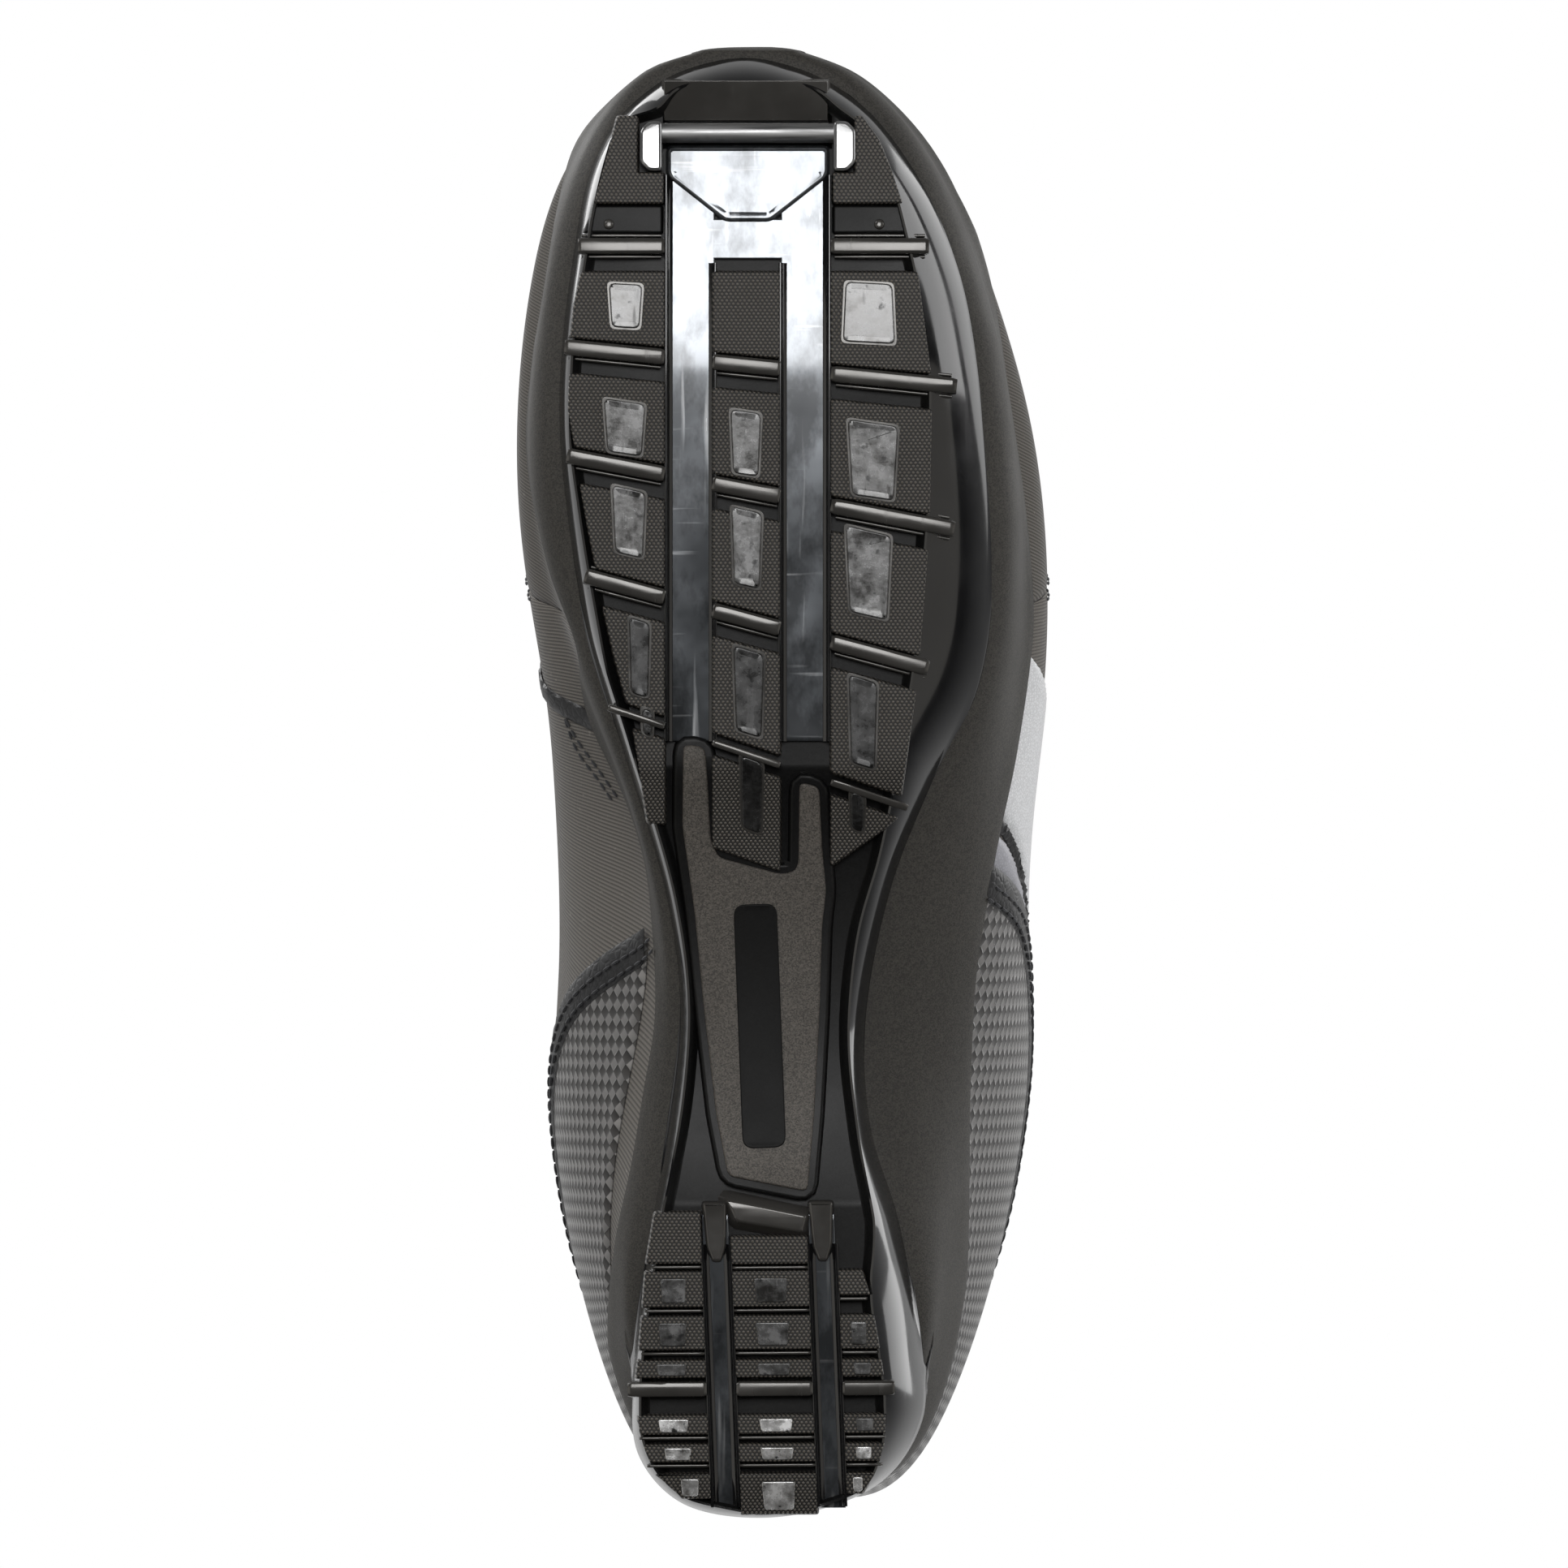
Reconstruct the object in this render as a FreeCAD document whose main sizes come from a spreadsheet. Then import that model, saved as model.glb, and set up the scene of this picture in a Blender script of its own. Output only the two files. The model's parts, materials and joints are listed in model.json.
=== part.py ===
"""Left cross-country ski boot for a two-groove, toe-bar binding, built as a FreeCAD document.

Frame: millimetres, +Z up, toe towards -Y, heel towards +Y, outer (lateral) side of the foot towards +X.
The origin is on the ground, under the centre of the boot's bounding box.
"""

import FreeCAD
import Part
import math
import os

from FreeCAD import Placement, Rotation, Vector

doc = FreeCAD.newDocument("cross_country_boot")

# ---------------------------------------------------------------------------------------------
# Driving dimensions
# ---------------------------------------------------------------------------------------------

sheet = doc.addObject("Spreadsheet::Sheet", "dims")

DRIVING = {
    # sole levels above the ground
    "tread_depth": 3.0,
    "tread_web": 0.5,
    "body_face": 1.0,
    "groove_depth": 4.0,
    "guide_thickness": 2.2,
    "heel_guide_face": 3.2,
    "heel_guide_back": 5.2,
    "toe_plate_face": 1.2,
    "seat_gap": 0.1,
    "toe_spring_start": -78.0,
    "toe_spring_radius": 290.0,
    "arch_front": -4.0,
    "arch_back": 84.0,
    "arch_height": 7.0,
    "heel_bevel_start": 134.0,
    "heel_bevel_radius": 40.0,
    # binding interface
    "binding_axis_x": -7.0,
    "bar_y": -132.0,
    "bar_radius": 2.0,
    "bar_exposed": 33.0,
    "bar_embedded": 4.0,
    "bar_height": 8.0,
    "groove_spacing": 23.0,
    "groove_width": 9.8,
    # tread rows
    "row_first_y": -109.0,
    "row_pitch": 25.2,
    "row_valley_start": 1.6,
    "row_valley_end": 5.0,
    # heel tread
    "heel_axis_x": -2.0,
    "heel_lean_deg": 2.2,
    "heel_groove_spacing": 21.4,
    "heel_groove_width": 5.4,
    # shank
    "shank_face": 1.6,
    "shank_thickness": 2.2,
    "badge_face": 1.2,
    "badge_length": 49.0,
    "badge_width": 8.3,
    "badge_thickness": 1.4,
    # layers of the upper, as distances from the outer face of the shell (outwards positive)
    "shell_thickness": 1.6,
    "stiffener_outer": -1.8,
    "stiffener_inner": -3.0,
    "lining_outer": -3.2,
    "lining_inner": -6.0,
    "overlay_gap": 0.15,
    "overlay_thickness": 1.0,
    "rand_thickness": 2.0,
    "footbed_thickness": 4.0,
    # closure
    "throat_half_width": 14.0,
    "tongue_half_width": 24.5,
    "cover_lift": 4.0,
    "cover_thickness": 1.2,
    "cover_half_width": 24.0,
    "zip_length": 50.0,
    "zip_pitch": 2.5,
    "slider_length": 11.0,
    "slider_half_width": 4.0,
    "pull_length": 24.0,
    "pull_width": 7.0,
    "pull_pin_radius": 0.7,
    "pull_clearance": 0.08,
    "lace_width": 4.2,
    "lace_pitch": 10.5,
    # ankle strap
    "strap_width": 30.0,
    "strap_tilt_deg": 20.0,
    "strap_inner": 1.8,
    "strap_thickness": 1.6,
    "strap_front_z": 129.0,
    "ring_wire_radius": 1.1,
    # webbing tab and loop at the heel
    "tab_half_width": 8.0,
    "loop_width": 14.0,
    "loop_depth": 5.2,
    "loop_thickness": 1.4,
    "loop_height": 24.0,
}

for row, (alias, value) in enumerate(DRIVING.items(), start=1):
    sheet.set(f"A{row}", alias)
    sheet.set(f"B{row}", str(value))
    sheet.setAlias(f"B{row}", alias)
doc.recompute()


def dim(alias):
    """The value of a driving dimension, as the sheet holds it."""
    return float(sheet.get(alias))


HALF_SPAN = 90.0  # half the width of the cutting blocks, wider than any part
TOE_END = -156.0  # where the side profiles start, ahead of the toe
HEEL_END = 154.0  # where they end, behind the heel
parts = []


def keep(obj, label):
    """Lists an object of the document as a sub-part, under the name its file takes."""
    obj.Label = label
    parts.append(obj)
    return obj


def feature(label, shape):
    """A sub-part whose shape is worked out here from the sheet, for forms that no sketch holds."""
    obj = doc.addObject("Part::Feature", label)
    obj.Shape = shape
    return keep(obj, label)


# ---------------------------------------------------------------------------------------------
# Side profiles, as curves of height over Y
# ---------------------------------------------------------------------------------------------


def ground_edges(lift):
    """The tread's line seen from the side, raised by lift: toe spring, ball, arch, heel and heel bevel."""
    spring, radius = dim("toe_spring_start"), dim("toe_spring_radius")
    front, back, arch = dim("arch_front"), dim("arch_back"), dim("arch_height")
    bevel, bevel_radius = dim("heel_bevel_start"), dim("heel_bevel_radius")
    toe, end = TOE_END, HEEL_END

    def spring_point(y):
        drop = y - spring
        return Vector(0, y, lift + radius - math.sqrt(radius**2 - drop**2))

    def bevel_point(y):
        drop = y - bevel
        return Vector(0, y, lift + bevel_radius - math.sqrt(bevel_radius**2 - drop**2))

    ball = Vector(0, spring, lift)
    arch_start, arch_end = Vector(0, front, lift), Vector(0, back, lift)
    arch_top = Vector(0, (front + back) / 2, lift + arch)
    heel = Vector(0, bevel, lift)
    return [
        Part.Arc(spring_point(toe), spring_point((toe + spring) / 2), ball).toShape(),
        Part.makeLine(ball, arch_start),
        Part.Arc(arch_start, arch_top, arch_end).toShape(),
        Part.makeLine(arch_end, heel),
        Part.Arc(heel, bevel_point((bevel + end) / 2), bevel_point(end)).toShape(),
    ]


def curve_edge(points):
    """A smooth edge through (y, z) points, in the plane of the boot's length."""
    curve = Part.BSplineCurve()
    curve.interpolate([Vector(0, y, z) for y, z in points])
    return curve.toShape()


SOLE_TOP = [
    (TOE_END, 20.5), (-120, 14.5), (-80, 12.0), (-30, 12.5), (30, 16.5), (80, 20.0), (HEEL_END, 21.0),
]
SEAM_LINE = [(TOE_END, 34), (-120, 29), (-80, 28), (-30, 30), (30, 34), (80, 37), (HEEL_END, 39)]
RAND_FOOT = 7.0  # the rand starts this far above the sole's top line


def lifted(points, by):
    return [(y, z + by) for y, z in points]


def slab(lower, upper):
    """The block between two side profiles. Each is a list of edges that run from toe to heel."""
    low, high = Part.Wire(lower), Part.Wire(upper)

    def ends(wire):
        points = [v.Point for v in wire.OrderedVertexes]
        return points[0], points[-1]

    (low_toe, low_heel), (high_toe, high_heel) = ends(low), ends(high)
    border = Part.Wire(
        low.OrderedEdges
        + [Part.makeLine(low_heel, high_heel)]
        + high.OrderedEdges[::-1]
        + [Part.makeLine(high_toe, low_toe)]
    )
    face = Part.Face(border)
    face.translate(Vector(-HALF_SPAN, 0, 0))
    return face.extrude(Vector(2 * HALF_SPAN, 0, 0))


def level_edge(z):
    return Part.makeLine(Vector(0, TOE_END, z), Vector(0, HEEL_END, z))


# ---------------------------------------------------------------------------------------------
# The outline of the sole, seen from below
# ---------------------------------------------------------------------------------------------

SOLE_LATERAL = [
    (-7, -148), (13, -141), (27, -125), (36.5, -103), (41.2, -72), (42.4, -44), (39.4, -21),
    (30.5, -1), (22, 21), (16.8, 48), (17.9, 69), (23.6, 88), (28, 114), (28.5, 128), (20, 141), (0, 148),
]
SOLE_MEDIAL = [
    (-20, 145.5), (-29, 136), (-30.5, 123), (-27, 92), (-23.1, 69), (-20.7, 46), (-23.4, 23),
    (-32.4, -8), (-39.4, -31), (-43.8, -57), (-45.2, -77), (-43, -104), (-37.3, -129), (-26, -142.5),
]


def closed_curve(points, z=0.0):
    curve = Part.BSplineCurve()
    curve.interpolate([Vector(x, y, z) for x, y in points], PeriodicFlag=True)
    return Part.Wire(curve.toShape())


def sole_prism(grow=0.0):
    """An upright block on the sole's outline, as deep as the whole sole, wider all round by grow."""
    wire = closed_curve(SOLE_LATERAL + SOLE_MEDIAL, -10)
    if grow:
        wire = wire.makeOffset2D(grow)
    return Part.Face(wire).extrude(Vector(0, 0, 80))


def polygon_prism(points, grow=0.0, low=-10.0, high=60.0):
    """An upright block on a polygon seen from above."""
    wire = Part.makePolygon([Vector(x, y, low) for x, y in points + points[:1]])
    if grow:
        wire = wire.makeOffset2D(grow, 2)
    return Part.Face(wire).extrude(Vector(0, 0, high - low))


def side_prism(points, left=-HALF_SPAN, right=HALF_SPAN):
    """A block across the boot on a polygon of (y, z) points seen from the side."""
    wire = Part.makePolygon([Vector(left, y, z) for y, z in points + points[:1]])
    return Part.Face(wire).extrude(Vector(right - left, 0, 0))


def sole_layer(low, high):
    """Everything between two heights measured from the line of the tread."""
    return slab(ground_edges(low), ground_edges(high))


def below_line(points, lift=0.0):
    return slab([level_edge(-20)], [curve_edge(lifted(points, lift))])


def above_line(points, lift=0.0):
    return slab([curve_edge(lifted(points, lift))], [level_edge(220)])


def largest(shape):
    """The biggest solid of a shape, without the slivers that a cut can leave at its ends."""
    return max(shape.Solids, key=lambda solid: solid.Volume)


# ---------------------------------------------------------------------------------------------
# The last: rings that run from the toe, round the heel, up to the cuff
# ---------------------------------------------------------------------------------------------

# Each ring: its foot (y, z) and its crown (y, z), then half-widths at the foot, at the seam and at the
# widest point, for the lateral and the medial side, and how far up the ring those two points lie.
RINGS = [
    ((-147.5, 19.8), (-147.5, 30), (2, 3, 4), (16, 17, 18), (0.35, 0.60)),
    ((-144, 18.6), (-144, 38), (10, 12, 13.5), (25, 27, 28.5), (0.32, 0.55)),
    ((-137.5, 17.0), (-137.5, 46), (17, 20, 22), (31, 34, 36), (0.30, 0.50)),
    ((-128, 15.2), (-128, 52.5), (24, 28, 30.5), (36, 40.5, 43), (0.30, 0.46)),
    ((-104, 12.8), (-104, 60), (34, 39, 42), (42, 47.5, 51), (0.28, 0.42)),
    ((-76, 11.9), (-78, 67.5), (40, 45.5, 50), (44, 50.5, 54), (0.25, 0.38)),
    ((-46, 12.3), (-52, 81.6), (41, 48, 53.8), (41, 48.5, 53), (0.22, 0.36)),
    ((-14, 13.6), (-30, 93.9), (35, 46.5, 53.5), (33, 38.5, 48.5), (0.20, 0.38)),
    ((24, 16.0), (-10, 105.1), (21, 41, 50.5), (23, 28, 45.5), (0.16, 0.42)),
    ((66, 19.0), (1, 111.5), (18, 36, 49.5), (21, 31, 45.5), (0.14, 0.42)),
    ((112, 20.6), (7, 119), (25, 33, 49), (26, 34, 46.5), (0.12, 0.45)),
    ((141, 34), (9, 130), (13, 31, 47.5), (13, 31, 45.5), (0.10, 0.48)),
    ((146.5, 74), (9, 141), (11, 28, 45.5), (11, 28, 44), (0.09, 0.50)),
    ((141, 118), (7, 153), (11, 27, 43.5), (11, 27, 43), (0.09, 0.50)),
    ((138.5, 156), (4, 165.5), (11, 27, 43.5), (11, 27, 43.5), (0.09, 0.50)),
]
CROWN_X = -5.0  # the ridge of the forefoot lies a little to the medial side
CROWN_POWER = 2.25
EXTENSION = 22.0  # how far the inner forms run on past the cuff, so that cutting with them leaves it open
TOE_Y = -148.0
TOE_FADE = 40.0  # behind this distance from the toe an offset no longer moves a ring forwards
TOE_SPREAD = 15.0


def ring_points(ring, outset):
    """Points round one ring, counted from its foot up the lateral side and down the medial side."""
    (foot_y, foot_z), (crown_y, crown_z), lateral, medial, (seam, widest) = ring
    foot, crown = Vector(0, foot_y, foot_z), Vector(0, crown_y, crown_z)
    height = (crown - foot).Length
    up = (crown - foot) * (1 / height)
    behind_toe = foot_y - TOE_Y
    forwards = Vector(0, -outset * max(0.0, 1 - behind_toe / TOE_FADE), 0)
    outwards = outset * min(1.0, 0.4 + behind_toe / TOE_SPREAD)
    centre = CROWN_X * min(1.0, max(0.0, -(crown_y + 40) / 60))

    def side(widths, sign):
        at_foot, at_seam, at_widest = (w * sign for w in widths)
        path = [(at_foot, 0.012 * height), (at_seam, seam * height), (at_widest, widest * height)]
        for degrees in (28, 52, 72):
            cos, sin = math.cos(math.radians(degrees)), math.sin(math.radians(degrees))
            x = centre + (at_widest - centre) * cos ** (2 / CROWN_POWER)
            path.append((x, height * (widest + (1 - widest) * sin ** (2 / CROWN_POWER))))
        return path

    middle = (lateral[0] - medial[0]) / 2
    flat = [(middle, 0.0)] + side(lateral, 1) + [(centre, height)] + side(medial, -1)[::-1]
    points = []
    for i, (x, h) in enumerate(flat):
        (x0, h0), (x1, h1) = flat[i - 1], flat[(i + 1) % len(flat)]
        length = math.hypot(x1 - x0, h1 - h0)
        normal_x, normal_h = (h1 - h0) / length, -(x1 - x0) / length
        in_ring = Vector(x + outwards * normal_x, 0, 0) + up * (h + outwards * normal_h)
        points.append(foot + in_ring + forwards)
    return points


def last(outset, extend=False):
    """The solid form of the boot's outer face, moved outwards by outset."""
    rings = [ring_points(ring, outset) for ring in RINGS]
    if extend:
        rise = (rings[-1][0] - rings[-2][0]).normalize() * EXTENSION
        rings.append([point + rise for point in rings[-1]])
    count = len(rings[0])
    along = [0.0]
    for ring, following in zip(rings, rings[1:]):
        along.append(along[-1] + sum(a.distanceToPoint(b) for a, b in zip(ring, following)) / count)
    columns = []
    for k in range(count):
        column = Part.BSplineCurve()
        column.interpolate(Points=[ring[k] for ring in rings], Parameters=along)
        columns.append(column)
    around = [k / count for k in range(count + 1)]
    rows = []
    for k in range(columns[0].NbPoles):
        row = Part.BSplineCurve()
        poles = [column.getPole(k + 1) for column in columns]
        row.interpolate(Points=poles, PeriodicFlag=True, Parameters=around)
        rows.append(row)
    surface = Part.BSplineSurface()
    surface.buildFromPolesMultsKnots(
        [row.getPoles() for row in rows],
        columns[0].getMultiplicities(),
        rows[0].getMultiplicities(),
        columns[0].getKnots(),
        rows[0].getKnots(),
        False,
        True,
        3,
        3,
    )
    skin = surface.toShape()
    rims = [edge for edge in skin.Edges if edge.isClosed()]
    caps = [Part.Face(Part.Wire(edge)) for edge in rims]
    shell = Part.makeShell([skin] + caps)
    shell.sewShape()
    solid = Part.makeSolid(shell)
    if solid.Volume < 0:
        solid.reverse()
    return solid


# ---------------------------------------------------------------------------------------------
# Sole
# ---------------------------------------------------------------------------------------------

GAP = dim("seat_gap")
AXIS_X = dim("binding_axis_x")
HALF_SPACING = dim("groove_spacing") / 2
HALF_GROOVE = dim("groove_width") / 2
ROW_COUNT = 5


def row_y(row):
    """Where a cross rib of the forefoot crosses the binding axis. The rows grow longer towards the heel."""
    return dim("row_first_y") + row * (dim("row_pitch") - 1.6) + 0.5 * row**2


def row_slope(row):
    return 0.1 * row * (1.06 - 0.055 * row)


def across_row(row, start, end):
    """A band that follows a cross rib, from start to end behind its middle line."""
    left, right = -HALF_SPAN, HALF_SPAN
    y_left = row_y(row) + row_slope(row) * (left - AXIS_X)
    y_right = row_y(row) + row_slope(row) * (right - AXIS_X)
    front = [(left, y_left + start), (right, y_right + start)]
    return polygon_prism(front + [(right, y_right + end), (left, y_left + end)])


TREAD_FRONT = -136.0
STRIP_END = 7.5  # where the medial strip ends, short of the shank
FOREFOOT_MEDIAL = [
    (-33.3, TREAD_FRONT), (-35.7, -129), (-38, -117.5), (-41.5, -109), (-42.8, -90), (-44, -88),
    (-43.3, -69), (-41.6, -61), (-39.8, -46), (-38.2, -38.5), (-35.4, -22), (-35.1, -17.5), (-28.6, 3),
    (-26, STRIP_END),
]
FOREFOOT_LATERAL = [
    (15.9, TREAD_FRONT), (19.3, -130.5), (22, -124.5), (24, -117), (27, -115), (29.2, -110),
    (27.3, -103.5), (30.3, -84.5), (35, -82), (35, -79.5), (30.5, -75.5), (29.6, -56), (34.3, -53.5),
    (34.3, -51), (29.3, -49), (27.2, -28.5), (29.5, -26), (28.8, -24), (26, -21.5), (23, -1), (25, 2),
    (22, 4.5), (15, 20),
]


def forefoot_zones():
    """The three strips of forefoot tread, beside and between the two guide grooves."""
    inner, outer = HALF_SPACING - HALF_GROOVE, HALF_SPACING + HALF_GROOVE
    # beside the bar the strips step outwards, round the blocks that hold its ends
    boss, step = dim("bar_exposed") / 2 + dim("bar_embedded") + 1.1, -124.0
    centre_front, drift = -97.5, 0.4

    def round_the_block(sign, end):
        """The edge of an outer strip beside its groove, from its heel end to its toe end."""
        beside, stepped = AXIS_X + sign * outer, AXIS_X + sign * boss
        return [(beside, end), (beside, step), (stepped, step), (stepped, TREAD_FRONT)]

    medial = FOREFOOT_MEDIAL + round_the_block(-1, STRIP_END)
    centre = [
        (AXIS_X - inner, centre_front),
        (AXIS_X + inner, centre_front),
        (AXIS_X + inner + drift, 17),
        (AXIS_X - inner + drift, 12.5),
    ]
    lateral = FOREFOOT_LATERAL + round_the_block(1, FOREFOOT_LATERAL[-1][1])
    return {"medial": medial, "centre": centre, "lateral": lateral}


def heel_frame(points):
    """Turns points given along the heel's own axis, which leans outwards from the sole's."""
    lean = math.radians(dim("heel_lean_deg"))
    pivot_y = 110.0
    return [
        (dim("heel_axis_x") + x * math.cos(lean) + (y - pivot_y) * math.sin(lean), pivot_y + (y - pivot_y))
        for x, y in points
    ]


def heel_zones():
    """The three strips of heel tread, beside and between the two heel grooves."""
    inner = (dim("heel_groove_spacing") - dim("heel_groove_width")) / 2
    outer = (dim("heel_groove_spacing") + dim("heel_groove_width")) / 2
    front, back = 85.0, 147.2
    medial_edge = [(-22.7, front), (-25, 96), (-27, 113), (-28.2, 121), (-28, 131), (-25, 138), (-19, 143.5)]
    medial = medial_edge + [(-outer, 146), (-outer, front)]
    centre = [(-inner, 90), (inner, 93), (inner, back), (-inner, back)]
    lateral = [(outer, 97), (20, 101), (21.8, 112), (22.5, 122), (22, 132), (20, 138), (outer, 143)]
    return {"medial": heel_frame(medial), "centre": heel_frame(centre), "lateral": heel_frame(lateral)}


HEEL_VALLEYS = (98.8, 107.3, 114.2, 119.9, 124.4, 131.0, 136.6)
HEEL_VALLEY_WIDTH = 1.7
VALLEY_FLOOR = 1.2  # what is left of the tread's depth under a valley
BELOW = -8.0  # the lower side of a cutting layer, under the ground


def make_treads():
    """The rubber tread strips. Each is a web with the pads and cross ribs standing down from it."""
    deep, web = dim("tread_depth"), dim("tread_web")
    full = sole_layer(0, deep + web)
    open_side = sole_layer(BELOW, deep - VALLEY_FLOOR)
    near, far = dim("row_valley_start"), dim("row_valley_end")
    forefoot_cuts = [across_row(row, near, far) for row in range(ROW_COUNT)]
    forefoot_cuts.append(across_row(0, -7.6, -near))
    heel_cuts = []
    for y in HEEL_VALLEYS:
        ends = heel_frame([(-40, y), (40, y)])
        corners = ends + [(x, y_end + HEEL_VALLEY_WIDTH) for x, y_end in ends[::-1]]
        heel_cuts.append(polygon_prism(corners))
    for name, zone in forefoot_zones().items():
        block = polygon_prism(zone).common(full)
        valleys = [cut.common(open_side) for cut in forefoot_cuts]
        feature(f"forefoot_tread_{name}", largest(block.cut(valleys)))
    for name, zone in heel_zones().items():
        block = polygon_prism(zone).common(full)
        valleys = [cut.common(open_side) for cut in heel_cuts]
        feature(f"heel_tread_{name}", largest(block.cut(valleys)))


def fork_outline():
    """Floors of the two guide grooves, joined by a cross piece behind the toe plate."""
    inner, outer = HALF_SPACING - HALF_GROOVE, HALF_SPACING + HALF_GROOVE
    front, cross, crotch, back = -123.0, -114.0, -106.0, -9.0
    return [
        (AXIS_X - outer, front), (AXIS_X - inner, front), (AXIS_X - inner, cross), (AXIS_X + inner, cross),
        (AXIS_X + inner, front), (AXIS_X + outer, front), (AXIS_X + outer, back), (AXIS_X + inner, back),
        (AXIS_X + inner, crotch), (AXIS_X - inner, crotch), (AXIS_X - inner, back), (AXIS_X - outer, back),
    ]


TOE_PLATE = [(-23.1, -129.4), (9.1, -129.4), (9.1, -123.2), (-2.4, -114.1), (-11.6, -114.1), (-23.1, -123.2)]
SHANK = [
    (-20.0, -8.6), (-15.6, -8), (-15, 0), (-14.5, 10.5), (-13, 14.2), (-0.3, 17.6), (2.4, 17), (3.2, 15.5),
    (3.4, -1), (7.4, 0), (8, 12), (8.8, 21), (8, 28), (7.5, 45.5), (6.4, 66), (5, 81.5), (-11, 78.4),
    (-13.4, 66), (-15.8, 45.5), (-17.8, 25), (-19.2, 15), (-20.2, 8),
]


def heel_guide_outline():
    """Floors of the two heel grooves, joined in front by the ramp bar."""
    inner = (dim("heel_groove_spacing") - dim("heel_groove_width")) / 2
    outer = (dim("heel_groove_spacing") + dim("heel_groove_width")) / 2
    front, crotch = 83.0, 89.5
    ramp = [(-outer, front), (outer, front + 1.5)]
    lateral = [(outer, 144), (inner, 145), (inner, crotch + 3)]
    medial = [(-inner, crotch), (-inner, 146.5), (-outer, 146)]
    return heel_frame(ramp + lateral + medial)


def make_sole():
    """The plastic sole body with its pockets, and the hard pieces that sit in them."""
    tread_back = dim("tread_depth") + dim("tread_web")
    floor, guide_back = dim("groove_depth"), dim("groove_depth") + dim("guide_thickness")
    shank_face, shank_back = dim("shank_face"), dim("shank_face") + dim("shank_thickness")
    heel_face, heel_back = dim("heel_guide_face"), dim("heel_guide_back")

    def pocket(outline, back):
        """The space for a piece that sits in the sole, a little wider and deeper than the piece."""
        return polygon_prism(outline, GAP).common(sole_layer(BELOW, back + GAP))

    pockets = [pocket(zone, tread_back) for zone in forefoot_zones().values()]
    pockets += [pocket(zone, tread_back) for zone in heel_zones().values()]
    pockets.append(pocket(fork_outline(), guide_back))
    pockets.append(pocket(TOE_PLATE, floor - GAP))
    pockets.append(pocket(SHANK, shank_back))
    pockets.append(pocket(heel_guide_outline(), heel_back))
    # the recess that lets a binding close round the bar
    half_bar, bar_y, bar_z = dim("bar_exposed") / 2, dim("bar_y"), dim("bar_height")
    ahead, long, roof, base = 6.4, 9.6, 3.2, -10.0
    corner = Vector(AXIS_X - half_bar, bar_y - ahead, base)
    recess = Part.makeBox(2 * half_bar, long, bar_z + roof - base, corner)
    pockets.append(recess)
    length = dim("bar_exposed") + 2 * dim("bar_embedded") + 2 * GAP
    fit = 0.02
    start = Vector(AXIS_X - length / 2, bar_y, bar_z)
    pockets.append(Part.makeCylinder(dim("bar_radius") + fit, length, start, Vector(1, 0, 0)))

    under_upper = slab(ground_edges(dim("body_face")), [curve_edge(lifted(SOLE_TOP, RAND_FOOT))])
    body = sole_prism().common(under_upper)
    shoulder = above_line(SOLE_TOP, 0.5).cut(last(3.5))
    body = body.cut(shoulder)
    body = body.cut(last(GAP)).cut(pockets)
    feature("sole_body", largest(body))
    fork = polygon_prism(fork_outline()).common(sole_layer(floor, guide_back))
    feature("groove_guide_plate", largest(fork))
    plate = polygon_prism(TOE_PLATE).common(sole_layer(dim("toe_plate_face"), floor - GAP))
    feature("toe_plate", largest(plate.cut(recess)))
    badge_face, badge_back, play = dim("badge_face"), dim("badge_face") + dim("badge_thickness"), 0.05
    badge_pocket = badge_prism(play).common(sole_layer(BELOW, badge_back + play))
    shank = polygon_prism(SHANK).common(sole_layer(shank_face, shank_back))
    feature("shank_plate", largest(shank.cut(badge_pocket)))
    feature("badge_inlay", largest(badge_prism().common(sole_layer(badge_face, badge_back))))
    heel_guide = polygon_prism(heel_guide_outline()).common(sole_layer(heel_face, heel_back))
    feature("heel_guide_plate", largest(heel_guide))


BADGE_CENTRE = Vector(-4.6, 48.3, 0)


def badge_prism(grow=0.0):
    """The plain rounded block of the inlay, which leans with the waist."""
    long, wide, corner = dim("badge_length") + 2 * grow, dim("badge_width") + 2 * grow, 2.0
    block = Part.makeBox(wide, long, 60, Vector(-wide / 2, -long / 2, -10))
    upright = [edge for edge in block.Edges if abs(edge.tangentAt(edge.FirstParameter).z) > 0.9]
    block = block.makeFillet(corner + grow, upright)
    block.rotate(Vector(0, 0, 0), Vector(0, 0, 1), -dim("heel_lean_deg"))
    block.translate(BADGE_CENTRE)
    return largest(block)


def make_binding_bar():
    """The steel pin across the toe that a binding closes on."""
    bar = doc.addObject("Part::Cylinder", "binding_bar")
    bar.setExpression("Radius", "dims.bar_radius")
    bar.setExpression("Height", "dims.bar_exposed + 2 * dims.bar_embedded")
    start = dim("binding_axis_x") - dim("bar_exposed") / 2 - dim("bar_embedded")
    bar.Placement = Placement(Vector(start, dim("bar_y"), dim("bar_height")), Rotation(Vector(0, 1, 0), 90))
    keep(bar, "binding_bar")


make_sole()
make_treads()
make_binding_bar()

# ---------------------------------------------------------------------------------------------
# Upper: shell, stiffeners, lining and overlays, all as layers between two offsets of the last
# ---------------------------------------------------------------------------------------------


def layer(outer, inner):
    """The open-topped skin between two offsets of the last, ending at the cuff."""
    return last(outer).cut(last(inner, True))


def cuff_z(y, lift=0.0):
    """Height of the cuff's edge at y, raised by lift."""
    foot_y, foot_z = RINGS[-1][0]
    crown_y, crown_z = RINGS[-1][1]
    return foot_z + (foot_y - y) * (crown_z - foot_z) / (foot_y - crown_y) + lift


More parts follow.
